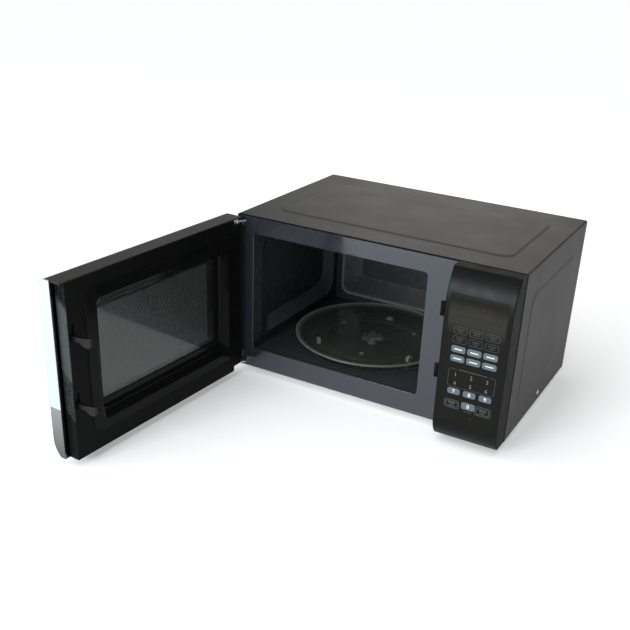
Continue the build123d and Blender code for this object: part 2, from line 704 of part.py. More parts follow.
# Cavity left wall: vent holes near the front and one large field pressed outward
LEFT_PAN_BASE = (LEFT_PAN_D, LEFT_PAN_H, LEFT_PAN_R)
LEFT_PAN_TOP = tuple(size - 2 * LEFT_PAN_SLOPE for size in LEFT_PAN_BASE[:2]) + (LEFT_PAN_R,)
LEFT_PAN_AT = (CAVITY_X[0], CAVITY_MID[1] + VENT_FROM_FRONT / 2, CAVITY_MID[2])
left_plane = Plane(LEFT_PAN_AT, (0, -1, 0), (-1, 0, 0))
left_skin = pressed_field(
    left_plane,
    (LEFT_PAN_D + 2 * SHEET, LEFT_PAN_H + 2 * SHEET, LEFT_PAN_R + SHEET),
    LEFT_PAN_TOP,
    LEFT_PAN_DEPTH + SHEET,
)
left_hollow = pressed_field(
    left_plane, LEFT_PAN_BASE, tuple(size - SHEET for size in LEFT_PAN_TOP), LEFT_PAN_DEPTH
)
with BuildPart() as cavity_left_wall:
    span_box((CAVITY_X[0] - SHEET, CAVITY_X[0]), CAVITY_Y, CAVITY_Z)
    add(left_skin)
    add(left_hollow, mode=Mode.SUBTRACT)
    with Locations(
        Location((CAVITY_X[0], CAVITY_Y[0] + VENT_FROM_FRONT, CAVITY_MID[2]), ALONG_X)
    ):
        with GridLocations(VENT_PITCH, VENT_PITCH, VENT_ROWS, VENT_COLUMNS):
            Cylinder(VENT_HOLE_R, 4 * SHEET, mode=Mode.SUBTRACT)
write(cavity_left_wall.part, "cavity_left_wall")

# Cavity right wall: the microwave port and the holes in front of the lamp
PORT_Y = Y_FRONT + WAVEGUIDE_Y
PORT_Z = Z_BASE + WAVEGUIDE_Z
LAMP_AT = (Y_FRONT + LAMP_Y, Z_BASE + LAMP_Z)
with BuildPart() as cavity_right_wall:
    span_box((CAVITY_X[1], CAVITY_X[1] + SHEET), CAVITY_Y, CAVITY_Z)
    span_box(
        around(CAVITY_X[1], 4 * SHEET), around(PORT_Y, PORT_L), around(PORT_Z, PORT_H), mode=Mode.SUBTRACT
    )
    with Locations(Location((CAVITY_X[1], *LAMP_AT), ALONG_X)):
        with GridLocations(VENT_PITCH, VENT_PITCH, LAMP_HOLE_COUNT - 1, LAMP_HOLE_COUNT):
            Cylinder(VENT_HOLE_R, 4 * SHEET, mode=Mode.SUBTRACT)
write(cavity_right_wall.part, "cavity_right_wall")

# Cavity ceiling
CAVITY_OUT_X = grown(CAVITY_X, SHEET)
with BuildPart() as cavity_ceiling:
    span_box(CAVITY_OUT_X, CAVITY_Y, (CAVITY_Z[1], CAVITY_Z[1] + SHEET))
write(cavity_ceiling.part, "cavity_ceiling")

# Cavity floor with the round track that the rollers run in
with BuildPart() as cavity_floor:
    span_box(CAVITY_OUT_X, CAVITY_Y, (CAVITY_Z[0] - SHEET, CAVITY_Z[0]))
    with Locations((TABLE_X, TABLE_Y, CAVITY_Z[0] - (FLOOR_PAN_DEPTH + SHEET) / 2)):
        Cone(FLOOR_PAN_R + SHEET, FLOOR_PAN_R + FLOOR_PAN_SLOPE + 2 * SHEET, FLOOR_PAN_DEPTH + SHEET)
    with Locations((TABLE_X, TABLE_Y, CAVITY_Z[0] - FLOOR_PAN_DEPTH / 2)):
        Cone(FLOOR_PAN_R, FLOOR_PAN_R + FLOOR_PAN_SLOPE, FLOOR_PAN_DEPTH, mode=Mode.SUBTRACT)
    with Locations((TABLE_X, TABLE_Y, PAN_FLOOR)):
        Cylinder(FLOOR_HOLE_R, 4 * SHEET, mode=Mode.SUBTRACT)
write(cavity_floor.part, "cavity_floor")

# Cavity back wall with its pressed field
BACK_PAN_BASE = (CAVITY_W - 2 * BACK_PAN_INSET, CAVITY_H - 2 * BACK_PAN_INSET, BACK_PAN_R)
BACK_PAN_TOP = (
    BACK_PAN_BASE[0] - 2 * BACK_PAN_SLOPE,
    BACK_PAN_BASE[1] - 2 * BACK_PAN_SLOPE,
    BACK_PAN_R,
)
back_plane = Plane((CAVITY_MID[0], CAVITY_Y[1], CAVITY_MID[2]), (-1, 0, 0), (0, 1, 0))
back_skin = pressed_field(
    back_plane,
    (BACK_PAN_BASE[0] + 2 * SHEET, BACK_PAN_BASE[1] + 2 * SHEET, BACK_PAN_R + SHEET),
    BACK_PAN_TOP,
    BACK_PAN_DEPTH + SHEET,
)
back_hollow = pressed_field(
    back_plane, BACK_PAN_BASE, tuple(size - SHEET for size in BACK_PAN_TOP), BACK_PAN_DEPTH
)
with BuildPart() as cavity_back_wall:
    span_box(CAVITY_OUT_X, (CAVITY_Y[1], CAVITY_Y[1] + SHEET), grown(CAVITY_Z, SHEET))
    add(back_skin)
    add(back_hollow, mode=Mode.SUBTRACT)
write(cavity_back_wall.part, "cavity_back_wall")

# Mica cover over the microwave port
with BuildPart() as waveguide_cover:
    span_box((CAVITY_X[1] - MICA_T, CAVITY_X[1]), around(PORT_Y, MICA_L), around(PORT_Z, MICA_H))
write(waveguide_cover.part, "waveguide_cover")

# Control panel housing with a shallow seat for the key membrane and posts for the board
MEMBRANE_X = grown(PANEL_X, -MEMBRANE_SIDE)
MEMBRANE_Z = (NOSE_Z[0] + MEMBRANE_LOW, NOSE_Z[1] - MEMBRANE_HIGH)
BOARD_X = grown(PANEL_X, -BOARD_MARGIN)
BOARD_Z = (NOSE_Z[0] + NOSE_CHIN_CURVE, NOSE_Z[1] - NOSE_TOP_CURVE)
BOARD_Y = Y_FRONT - BOARD_SETBACK
POST_X = grown(BOARD_X, -2 * BOARD_POST_R)
POST_Z = grown(BOARD_Z, -2 * BOARD_POST_R)
panel_body = nose(PANEL_X, Y_FRONT, end_r=NOSE_END_R)
panel_hollow = nose(grown(PANEL_X, -PANEL_WALL), Y_FRONT, face_inset=PANEL_FACE, rim_inset=PANEL_WALL)
membrane_seat = nose_skin(grown(MEMBRANE_X, FIT), grown(MEMBRANE_Z, FIT), MEMBRANE_T)
POST_L = NOSE_DEPTH - PANEL_FACE - BOARD_SETBACK
with BuildPart() as control_panel:
    add(panel_body)
    add(panel_hollow, mode=Mode.SUBTRACT)
    add(membrane_seat, mode=Mode.SUBTRACT)
    with Locations(*[(x, BOARD_Y - POST_L / 2, z) for x in POST_X for z in POST_Z]):
        Cylinder(BOARD_POST_R, POST_L, rotation=ALONG_Y)
write(control_panel.part, "control_panel")

# Printed key membrane with its display window
DISPLAY_X = around((MEMBRANE_X[0] + MEMBRANE_X[1]) / 2, DISPLAY_W)
DISPLAY_Z = (MEMBRANE_Z[1] - DISPLAY_DROP - DISPLAY_H, MEMBRANE_Z[1] - DISPLAY_DROP)
membrane_sheet = nose_skin(MEMBRANE_X, MEMBRANE_Z, MEMBRANE_T)
with BuildPart() as keypad_membrane:
    add(membrane_sheet)
    span_box(
        grown(DISPLAY_X, FIT),
        (Y_FRONT - 2 * NOSE_DEPTH, Y_FRONT),
        grown(DISPLAY_Z, FIT),
        mode=Mode.SUBTRACT,
    )
write(keypad_membrane.part, "keypad_membrane")
write(nose_skin(DISPLAY_X, DISPLAY_Z, MEMBRANE_T), "display_window")

# Control board with its relays and display block
RELAY_Y = (BOARD_Y + BOARD_T, BOARD_Y + BOARD_T + RELAY_SIZE)
DISPLAY_BLOCK_Z = (BOARD_Z[1] - DISPLAY_H, BOARD_Z[1])
with BuildPart() as control_board:
    span_box(BOARD_X, (BOARD_Y, BOARD_Y + BOARD_T), BOARD_Z)
    for step in range(3):
        x_low = BOARD_X[0] + RELAY_SIZE / 2 + step * 1.5 * RELAY_SIZE
        relay_z = around(BOARD_Z[0] + 2 * RELAY_SIZE, RELAY_H)
        span_box((x_low, x_low + RELAY_SIZE), RELAY_Y, relay_z)
    span_box(
        around((BOARD_X[0] + BOARD_X[1]) / 2, DISPLAY_W - 2 * RELAY_SIZE),
        (BOARD_Y - RELAY_SIZE / 2, BOARD_Y),
        DISPLAY_BLOCK_Z,
    )
write(control_board.part, "control_board")

# Door front shell, closed place: a hollow nose with a rebate for the glass and a roof over the door frame
SHELL_X = (DOOR_X[0], DOOR_X[1] - TRIM_T)
SHELL_Y = Y_FRONT - SHELL_BACK
GLASS_X = grown(SHELL_X, -GLASS_SIDE)
GLASS_Z = (NOSE_Z[0] + GLASS_LOW, NOSE_Z[1] - GLASS_HIGH)
NOSE_FACE = Y_FRONT - NOSE_DEPTH
shell_body = nose(SHELL_X, SHELL_Y, top=DOOR_TOP)
shell_hollow = nose(
    grown(SHELL_X, -SHELL_WALL), Y_FRONT, face_inset=SHELL_FACE, rim_inset=SHELL_WALL, top=DOOR_TOP
)
with BuildPart() as door_shell:
    add(shell_body)
    add(shell_hollow, mode=Mode.SUBTRACT)
    span_box(
        grown(GLASS_X, FIT),
        (NOSE_FACE - SHEET, NOSE_FACE + GLASS_T),
        grown(GLASS_Z, FIT),
        mode=Mode.SUBTRACT,
    )
    span_box(
        grown(GLASS_X, -GLASS_LEDGE),
        (NOSE_FACE, NOSE_FACE + 2 * SHELL_FACE),
        grown(GLASS_Z, -GLASS_LEDGE),
        mode=Mode.SUBTRACT,
    )
    span_box(SHELL_X, (SHELL_Y, FRAME_Y[1]), (NOSE_Z[1] - SHELL_WALL, NOSE_Z[1]))
write_on_door(door_shell.part, "door_shell")

with BuildPart() as door_glass:
    span_box(GLASS_X, (NOSE_FACE, NOSE_FACE + GLASS_T), GLASS_Z)
    fillet(door_glass.edges().group_by(Axis.Y)[0], GLASS_T / 6)
write_on_door(door_glass.part, "door_glass")

# Polished strip on the free end of the door
write_on_door(nose((SHELL_X[1], DOOR_X[1]), SHELL_Y, top=DOOR_TOP), "door_end_trim")

# Places on the inside of the door
CHOKE_X = (OPENING_X[0] - CHOKE_HINGE, OPENING_X[1] + CHOKE_FREE)
CHOKE_Z = (OPENING_Z[0] - CHOKE_LOW, OPENING_Z[1] + CHOKE_HIGH)
FUNNEL_X = (CHOKE_X[0] + BORDER_HINGE, CHOKE_X[1] - BORDER_FREE)
FUNNEL_Z = (CHOKE_Z[0] + BORDER_LOW, CHOKE_Z[1] - BORDER_HIGH)
WINDOW_X = (OPENING_X[0] + WINDOW_HINGE, OPENING_X[1] - WINDOW_FREE)
WINDOW_Z = (OPENING_Z[0] + WINDOW_LOW, OPENING_Z[1] - WINDOW_HIGH)
LEDGE_X = (WINDOW_X[0] - LEDGE_HINGE, WINDOW_X[1] + LEDGE_FREE)
LEDGE_Z = (WINDOW_Z[0] - LEDGE_LOW, WINDOW_Z[1] + LEDGE_HIGH)
STEP_X = between(FUNNEL_X, LEDGE_X, STEP_SHARE)
STEP_Z = between(FUNNEL_Z, LEDGE_Z, STEP_SHARE)
CHOKE_FACE = Y_FRONT - CHOKE_GAP
STEP_Y = CHOKE_FACE - STEP_DEPTH
LEDGE_Y = CHOKE_FACE - FUNNEL_DEPTH
CHOKE_BACK = LEDGE_Y - FUNNEL_BACK
FRAME_FLOOR = FRAME_Y[1] - FRAME_WALL
FRAME_WINDOW_X = grown(FUNNEL_X, CHOKE_WALL + FIT)
FRAME_WINDOW_Z = grown(FUNNEL_Z, CHOKE_WALL + FIT)
HOOK_X = around(HOOK_AT_X, HOOK_T)
BAR_X = around(HOOK_AT_X, BAR_W)
BAR_Y = (FRAME_FLOOR - PLAY - BAR_T, FRAME_FLOOR - PLAY)
BAR_Z = (HOOK_TOPS[0] - HOOK_ROOT_H - BAR_BELOW, HOOK_TOPS[1] + BAR_ABOVE)
BUSH_BORE_R = BUSH_R + RUNNING

# Door frame: a tray with hinge blocks, latch slots and the guides of the latch bar
with BuildPart() as door_frame:
    span_box(FRAME_X, FRAME_Y, FRAME_Z)
    span_box(
        grown(FRAME_X, -FRAME_WALL),
        (FRAME_Y[0] - SHEET, FRAME_FLOOR),
        grown(FRAME_Z, -FRAME_WALL),
        mode=Mode.SUBTRACT,
    )
    block_x = (FRAME_X[0], FRAME_X[0] + HINGE_BLOCK_W)
    notch_x = (FRAME_X[0] - SHEET, FRAME_X[0] + HINGE_NOTCH_W)
    for z_end, level, way in zip(FRAME_Z, BUSH_LEVELS, (1, -1)):
        span_box(block_x, FRAME_Y, sorted((z_end, z_end + way * HINGE_BLOCK_H)))
        span_box(notch_x, grown(FRAME_Y, SHEET), sorted((z_end - way, level)), mode=Mode.SUBTRACT)
        with Locations((*HINGE_AXIS, level + way * (BUSH_L + PLAY) / 2)):
            Cylinder(BUSH_BORE_R, BUSH_L + PLAY, mode=Mode.SUBTRACT)
    span_box(FRAME_WINDOW_X, grown(FRAME_Y, SHEET), FRAME_WINDOW_Z, mode=Mode.SUBTRACT)
    for top in HOOK_TOPS:
        span_box(
            grown(HOOK_X, PLAY),
            (FRAME_FLOOR - SHEET, FRAME_Y[1] + SHEET),
            (top - HOOK_ROOT_H - LATCH_SLOT_BELOW, top + LATCH_LIFT + LATCH_SLOT_SPARE),
            mode=Mode.SUBTRACT,
        )
    guide_y = (BAR_Y[0] - GUIDE_T, FRAME_FLOOR)
    guide_z = around((BAR_Z[0] + BAR_Z[1]) / 2, GUIDE_L)
    span_box((BAR_X[0] - PLAY - GUIDE_T, BAR_X[0] - PLAY), guide_y, guide_z)
    span_box((BAR_X[0] - PLAY - GUIDE_T, FRAME_X[1] - FRAME_WALL), (guide_y[0], BAR_Y[0] - PLAY), guide_z)
    for seat_z in (
        (BAR_Z[0] - PLAY - SEAT_T, BAR_Z[0] - PLAY),
        (BAR_Z[1] + SPRING_L, BAR_Z[1] + SPRING_L + SEAT_T),
    ):
        span_box((BAR_X[0] - GUIDE_T, FRAME_X[1] - FRAME_WALL), guide_y, seat_z)
write_on_door(door_frame.part, "door_frame")

# Choke cover: a flat border on the frame and a stepped funnel down to the window
with BuildPart() as choke_border:
    add(rounded_block(CHOKE_X, (FRAME_Y[1], CHOKE_FACE), CHOKE_Z, CHOKE_R))
    fillet(choke_border.edges().group_by(Axis.Y)[-1], CHOKE_EDGE_R)
upper_funnel = tapered_recess((CHOKE_FACE, FUNNEL_X, FUNNEL_Z, FUNNEL_R), (STEP_Y, STEP_X, STEP_Z, FUNNEL_R))
lower_funnel = tapered_recess(
    (STEP_Y, grown(STEP_X, -STEP_W), grown(STEP_Z, -STEP_W), FUNNEL_R - STEP_W),
    (LEDGE_Y, LEDGE_X, LEDGE_Z, LEDGE_R),
)
window_hole = rounded_block(WINDOW_X, grown((CHOKE_BACK, CHOKE_FACE), SHEET), WINDOW_Z, WINDOW_R)
FILM_Y = (CHOKE_BACK, CHOKE_BACK + FILM_T)
FILM_X = grown(WINDOW_X, FILM_LAP)
FILM_Z = grown(WINDOW_Z, FILM_LAP)
with BuildPart() as choke_cover:
    add(choke_border.part)
    span_box(grown(FUNNEL_X, CHOKE_WALL), (CHOKE_BACK, CHOKE_FACE), grown(FUNNEL_Z, CHOKE_WALL))
    add(upper_funnel, mode=Mode.SUBTRACT)
    add(lower_funnel, mode=Mode.SUBTRACT)
    add(window_hole, mode=Mode.SUBTRACT)
    span_box(grown(FILM_X, FIT), FILM_Y, grown(FILM_Z, FIT), mode=Mode.SUBTRACT)
    fillet(edges_within(choke_cover.edges().group_by(Axis.Y)[-1], FUNNEL_X, FUNNEL_Z), FUNNEL_EDGE_R)
write_on_door(choke_cover.part, "choke_cover")

# Pressed inner panel of the door, with its forward choke flange
PANEL_BACK_Y = CHOKE_BACK - SHEET
inner_x = grown(FUNNEL_X, INNER_PANEL_RIM)
inner_z = grown(FUNNEL_Z, INNER_PANEL_RIM)
with BuildPart() as door_inner_panel:
    span_box(inner_x, (PANEL_BACK_Y - CHOKE_FLANGE, CHOKE_BACK), inner_z)
    span_box(
        grown(inner_x, -SHEET),
        (PANEL_BACK_Y - 2 * CHOKE_FLANGE, PANEL_BACK_Y),
        grown(inner_z, -SHEET),
        mode=Mode.SUBTRACT,
    )
    span_box(
        grown(WINDOW_X, PANEL_WINDOW_GAP),
        grown((PANEL_BACK_Y, CHOKE_BACK), SHEET),
        grown(WINDOW_Z, PANEL_WINDOW_GAP),
        mode=Mode.SUBTRACT,
    )
write_on_door(door_inner_panel.part, "door_inner_panel")

# Screen sheet that keeps the microwaves in
SCREEN_MARGIN = PANEL_WINDOW_GAP + SCREEN_LAP
with BuildPart() as door_screen:
    screen_y = (PANEL_BACK_Y - SHEET, PANEL_BACK_Y)
    span_box(grown(WINDOW_X, SCREEN_MARGIN), screen_y, grown(WINDOW_Z, SCREEN_MARGIN))
write_on_door(door_screen.part, "door_screen")

# Clear film over the screen, held between the choke cover and the inner panel
door_film = rounded_block(FILM_X, FILM_Y, FILM_Z, WINDOW_R)
write_on_door(door_film, "door_film")

# Flanged bushes that turn on the hinge pins
with BuildPart() as hinge_bushes:
    for level, way in zip(BUSH_LEVELS, (1, -1)):
        with Locations((*HINGE_AXIS, level + way * BUSH_L / 2)):
            Cylinder(BUSH_R, BUSH_L)
        with Locations((*HINGE_AXIS, level - way * BUSH_FLANGE_T / 2)):
            Cylinder(BUSH_FLANGE_R, BUSH_FLANGE_T)
    with Locations((*HINGE_AXIS, Z_MID)):
        Cylinder(PIN_R + RUNNING, 2 * CASE_H, mode=Mode.SUBTRACT)
write_on_door(hinge_bushes.part, "hinge_bushes")

# Latch bar with its two hooks
NECK_Y = FRAME_Y[1] + HOOK_NECK_L
BARB_Y = HOOK_TIP_Y - HOOK_TIP_L
with BuildPart() as latch_bar:
    span_box(BAR_X, BAR_Y, BAR_Z)
    with BuildSketch(Plane.YZ.offset(HOOK_X[0])):
        for top in HOOK_TOPS:
            Polygon(
                (BAR_Y[1], top),
                (NECK_Y, top),
                (HOOK_TIP_Y, top + HOOK_RISE),
                (HOOK_TIP_Y, top + HOOK_RISE - HOOK_TIP_H),
                (BARB_Y, top - HOOK_BARB),
                (BARB_Y - HOOK_BARB_L, top - HOOK_BARB),
                (NECK_Y, top - HOOK_NECK_H),
                (FRAME_Y[1], top - HOOK_ROOT_H),
                (BAR_Y[1], top - HOOK_ROOT_H),
                align=None,
            )
    extrude(amount=HOOK_T)
write_on_door(latch_bar.part, "latch_bar")

# Spring that presses the latch bar down
SPRING_END = SPRING_WIRE_R + FIT
SPRING_AT = (HOOK_AT_X, (BAR_Y[0] + BAR_Y[1]) / 2, BAR_Z[1] + SPRING_END)
with BuildPart() as latch_spring:
    with BuildLine(Plane(SPRING_AT)):
        coil = Helix(SPRING_PITCH, SPRING_L - 2 * SPRING_END, SPRING_R)
    with BuildSketch(Plane(coil @ 0, z_dir=coil % 0)):
        Circle(SPRING_WIRE_R)
    sweep(path=coil, is_frenet=True)
write_on_door(latch_spring.part, "latch_spring")

# Interlock bracket beside the hooks, and its three switches
SWITCH_FRONT = HOOK_TIP_Y + HOOK_CLEAR + PLUNGER_OUT
INTERLOCK_X = (HOOK_AT_X - SWITCH_T / 2 - INTERLOCK_PLATE_T, HOOK_AT_X - SWITCH_T / 2)
INTERLOCK_Z = grown(HOOK_TOPS, SWITCH_H / 2 + INTERLOCK_MARGIN)
PLATE_BACK_Y = Y_FRONT + SHEET
TIP_MIDDLE = HOOK_RISE - HOOK_TIP_H / 2
SWITCH_LEVELS = [top + TIP_MIDDLE for top in (*HOOK_TOPS, sum(HOOK_TOPS) / 2)]
with BuildPart() as interlock_bracket:
    span_box(INTERLOCK_X, (PLATE_BACK_Y, PLATE_BACK_Y + INTERLOCK_PLATE_D), INTERLOCK_Z)
    span_box(
        (INTERLOCK_X[1] - INTERLOCK_FLANGE_W, INTERLOCK_X[1]),
        (PLATE_BACK_Y, PLATE_BACK_Y + INTERLOCK_PLATE_T),
        INTERLOCK_Z,
    )
write(interlock_bracket.part, "interlock_bracket")

with BuildPart() as interlock_switches:
    for level in SWITCH_LEVELS:
        switch_y = (SWITCH_FRONT, SWITCH_FRONT + SWITCH_D)
        span_box(around(HOOK_AT_X, SWITCH_T), switch_y, around(level, SWITCH_H))
    with Locations(*[(HOOK_AT_X, SWITCH_FRONT, level) for level in SWITCH_LEVELS]):
        Cylinder(
            PLUNGER_R + RUNNING,
            2 * (PLUNGER_IN + PLUNGER_TRAVEL + PLAY),
            rotation=ALONG_Y,
            mode=Mode.SUBTRACT,
        )
write(interlock_switches.part, "interlock_switches")

for number, level in enumerate(SWITCH_LEVELS, start=1):
    with BuildPart() as plunger:
        with Locations((HOOK_AT_X, SWITCH_FRONT + (PLUNGER_IN - PLUNGER_OUT) / 2, level)):
            Cylinder(PLUNGER_R, PLUNGER_OUT + PLUNGER_IN, rotation=ALONG_Y)
        fillet(plunger.edges().sort_by(Axis.Y)[0], PLUNGER_R / 2)
    write(plunger.part, f"switch_plunger_{number}")

# Turntable motor under the floor and its shaft
with BuildPart() as turntable_motor:
    with Locations((TABLE_X, TABLE_Y, MOTOR_TOP - MOTOR_H / 2)):
        Cylinder(MOTOR_R, MOTOR_H)
    span_box(around(TABLE_X, MOTOR_EAR_W), around(TABLE_Y, MOTOR_EAR_D), (MOTOR_TOP - SHEET, MOTOR_TOP))
    with Locations((TABLE_X, TABLE_Y, MOTOR_TOP)):
        Cylinder(SHAFT_R + RUNNING, 2 * (SHAFT_IN + PLAY), mode=Mode.SUBTRACT)
write(turntable_motor.part, "turntable_motor")

SHAFT_Z = (MOTOR_TOP - SHAFT_IN, PLATE_Z - COUPLER_LOBE_T)
with BuildPart() as motor_shaft:
    with Locations((TABLE_X, TABLE_Y, sum(SHAFT_Z) / 2)):
        Cylinder(SHAFT_R, SHAFT_Z[1] - SHAFT_Z[0])
write(motor_shaft.part, "motor_shaft")

# Three-lobed drive coupler
COUPLER_Z = (PAN_FLOOR + SHEET, PLATE_Z)
with BuildPart() as turntable_coupler:
    with Locations((TABLE_X, TABLE_Y, sum(COUPLER_Z) / 2)):
        Cylinder(COUPLER_R, COUPLER_Z[1] - COUPLER_Z[0])
    with BuildSketch(Plane.XY.offset(COUPLER_Z[1] - COUPLER_LOBE_T)):
        with Locations((TABLE_X, TABLE_Y)):
            Circle(COUPLER_R)
            with PolarLocations(COUPLER_LOBE_REACH, 3):
                Circle(COUPLER_LOBE_R)
            with PolarLocations(COUPLER_LOBE_REACH / 2, 3):
                Rectangle(COUPLER_LOBE_REACH, 2 * COUPLER_LOBE_R)
    extrude(amount=COUPLER_LOBE_T)
    with Locations((TABLE_X, TABLE_Y, sum(SHAFT_Z) / 2)):
        Cylinder(SHAFT_R, SHAFT_Z[1] - SHAFT_Z[0], mode=Mode.SUBTRACT)
write(turntable_coupler.part, "turntable_coupler")

# Glass plate: a flat middle, a dished border, three drive pips at the coupler and three pips further out
with BuildPart() as turntable_plate:
    with BuildSketch(Plane.XZ):
        with BuildLine():
            Polyline(
                (0, PLATE_T),
                (0, 0),
                (PLATE_FLAT_R, 0),
                (PLATE_R - PLATE_RIM_W, PLATE_RIM_H - PLATE_RIM_W),
                (PLATE_R, PLATE_RIM_H - PLATE_RIM_W / 2),
                (PLATE_R, PLATE_RIM_H),
                (PLATE_R - PLATE_RIM_W, PLATE_RIM_H),
                (PLATE_FLAT_R, PLATE_T),
                close=True,
            )
        make_face()
    revolve(axis=Axis.Z)
    with Locations((0, 0, -DRIVE_PIP_H / 2)):
        with PolarLocations(COUPLER_LOBE_REACH, 3, start_angle=60):
            Cylinder(DRIVE_PIP_R, DRIVE_PIP_H)
    with Locations((0, 0, -PLATE_PIP_H / 2)):
        with PolarLocations(PLATE_PIP_CIRCLE_R, 3, start_angle=PLATE_PIP_TURN):
            Cylinder(PLATE_PIP_R, PLATE_PIP_H)
    fillet(turntable_plate.edges().group_by(Axis.Z)[0], PLATE_PIP_R / 4)
write(Pos(TABLE_X, TABLE_Y, PLATE_Z) * turntable_plate.part, "turntable_plate")

# Roller ring: a round band with an axle pin outward for each roller
ROLLER_ANGLES = [ROLLER_TURN + 360 / ROLLER_COUNT * step for step in range(ROLLER_COUNT)]
AXLE_REACH = ROLLER_CIRCLE_R + ROLLER_W / 2 + PLAY + AXLE_HEAD_T
HEAD_AT = AXLE_REACH - AXLE_HEAD_T / 2
with BuildPart() as roller_ring:
    with Locations((TABLE_X, TABLE_Y, ROLLER_Z)):
        Cylinder(RING_R + RING_W / 2, RING_H)
        Cylinder(RING_R - RING_W / 2, RING_H, mode=Mode.SUBTRACT)
        with PolarLocations((RING_R + AXLE_REACH) / 2, ROLLER_COUNT, start_angle=ROLLER_TURN):
            Cylinder(AXLE_R, AXLE_REACH - RING_R, rotation=ALONG_X)
        with PolarLocations(HEAD_AT, ROLLER_COUNT, start_angle=ROLLER_TURN):
            Cylinder(AXLE_HEAD_R, AXLE_HEAD_T, rotation=ALONG_X)
write(roller_ring.part, "roller_ring")

for number, angle in enumerate(ROLLER_ANGLES, start=1):
    place = Plane(
        (
            TABLE_X + ROLLER_CIRCLE_R * cos(radians(angle)),
            TABLE_Y + ROLLER_CIRCLE_R * sin(radians(angle)),
            ROLLER_Z,
        ),
        x_dir=(0, 0, 1),
        z_dir=(cos(radians(angle)), sin(radians(angle)), 0),
    )
    with BuildPart(place) as roller:
        Cylinder(ROLLER_R, ROLLER_W)
        chamfer(roller.edges(), ROLLER_W / 10)
        Cylinder(AXLE_R + RUNNING, 2 * ROLLER_W, mode=Mode.SUBTRACT)
    write(roller.part, f"roller_{number}")

# Waveguide box on the right wall
GUIDE_X = (BAY_X[0], BAY_X[0] + WAVEGUIDE_DEPTH)
with BuildPart() as waveguide:
    span_box(GUIDE_X, around(PORT_Y, WAVEGUIDE_L), around(PORT_Z, WAVEGUIDE_H))
    span_box(
        (GUIDE_X[0] - SHEET, GUIDE_X[1] - SHEET),
        around(PORT_Y, WAVEGUIDE_L - 2 * SHEET),
        around(PORT_Z, WAVEGUIDE_H - 2 * SHEET),
        mode=Mode.SUBTRACT,
    )
    with Locations((GUIDE_X[1], PORT_Y, PORT_Z)):
        Cylinder(ANTENNA_R + FIT, 4 * SHEET, rotation=ALONG_X, mode=Mode.SUBTRACT)
write(waveguide.part, "waveguide")

# Magnetron: yoke, finned tube and filter box
YOKE_SPAN_X = (GUIDE_X[1], GUIDE_X[1] + YOKE_X)
YOKE_SPAN_Y = around(PORT_Y, YOKE_Y)
YOKE_SPAN_Z = around(PORT_Z, YOKE_Z)
with BuildPart() as magnetron_yoke:
    span_box(YOKE_SPAN_X, YOKE_SPAN_Y, YOKE_SPAN_Z)
    span_box(
        grown(YOKE_SPAN_X, -YOKE_T),
        grown(YOKE_SPAN_Y, SHEET),
        grown(YOKE_SPAN_Z, -YOKE_T),
        mode=Mode.SUBTRACT,
    )
    with Locations((YOKE_SPAN_X[0], PORT_Y, PORT_Z)):
        Cylinder(ANTENNA_R + FIT, 4 * YOKE_T, rotation=ALONG_X, mode=Mode.SUBTRACT)
write(magnetron_yoke.part, "magnetron_yoke")

TUBE_X = grown(YOKE_SPAN_X, -YOKE_T)
FIN_STEP = (TUBE_X[1] - TUBE_X[0]) / (FIN_COUNT + 1)
with BuildPart() as magnetron_tube:
    with Locations((sum(TUBE_X) / 2, PORT_Y, PORT_Z)):
        Cylinder(TUBE_R, TUBE_X[1] - TUBE_X[0], rotation=ALONG_X)
    for step in range(1, FIN_COUNT + 1):
        span_box(
            around(TUBE_X[0] + step * FIN_STEP, FIN_T), YOKE_SPAN_Y, grown(YOKE_SPAN_Z, -YOKE_T - FIT)
        )
    with Locations((TUBE_X[0] - ANTENNA_L / 2, PORT_Y, PORT_Z)):
        Cylinder(ANTENNA_R, ANTENNA_L, rotation=ALONG_X)
write(magnetron_tube.part, "magnetron_tube")

with BuildPart() as magnetron_filter:
    span_box(
        (YOKE_SPAN_X[1], YOKE_SPAN_X[1] + FILTER_BOX_X),
        around(PORT_Y, FILTER_BOX),
        around(PORT_Z, FILTER_BOX),
    )
    fillet(magnetron_filter.edges().filter_by(Axis.X), SHEET)
write(magnetron_filter.part, "magnetron_filter")

# Transformer: laminated core with two windows, and the windings through them
SUPPLY_AT_Y = Y_FRONT + SUPPLY_Y
CORE_Z_SPAN = (BAY_FLOOR, BAY_FLOOR + CORE_Z)
WINDOW_MID_Z = sum(CORE_Z_SPAN) / 2
COIL_SPAN_X = around(BAY_MID, CORE_WINDOW_X)
COIL_SPAN_Z = around(WINDOW_MID_Z, CORE_LIMB_Z + CORE_WINDOW_Z)
LIMB_Z = around(WINDOW_MID_Z, CORE_LIMB_Z)
with BuildPart() as transformer_core:
    span_box(around(BAY_MID, CORE_X), around(SUPPLY_AT_Y, CORE_Y), CORE_Z_SPAN)
    span_box(COIL_SPAN_X, around(SUPPLY_AT_Y, 2 * CORE_Y), COIL_SPAN_Z, mode=Mode.SUBTRACT)
    span_box(COIL_SPAN_X, around(SUPPLY_AT_Y, CORE_Y), LIMB_Z)
write(transformer_core.part, "transformer_core")

with BuildPart() as transformer_windings:
    span_box(grown(COIL_SPAN_X, -COIL_GAP), around(SUPPLY_AT_Y, COIL_Y), grown(COIL_SPAN_Z, -COIL_GAP))
    fillet(transformer_windings.edges().filter_by(Axis.Z), CORE_LIMB_Z)
    span_box(COIL_SPAN_X, around(SUPPLY_AT_Y, CORE_Y), LIMB_Z, mode=Mode.SUBTRACT)
write(transformer_windings.part, "transformer_windings")

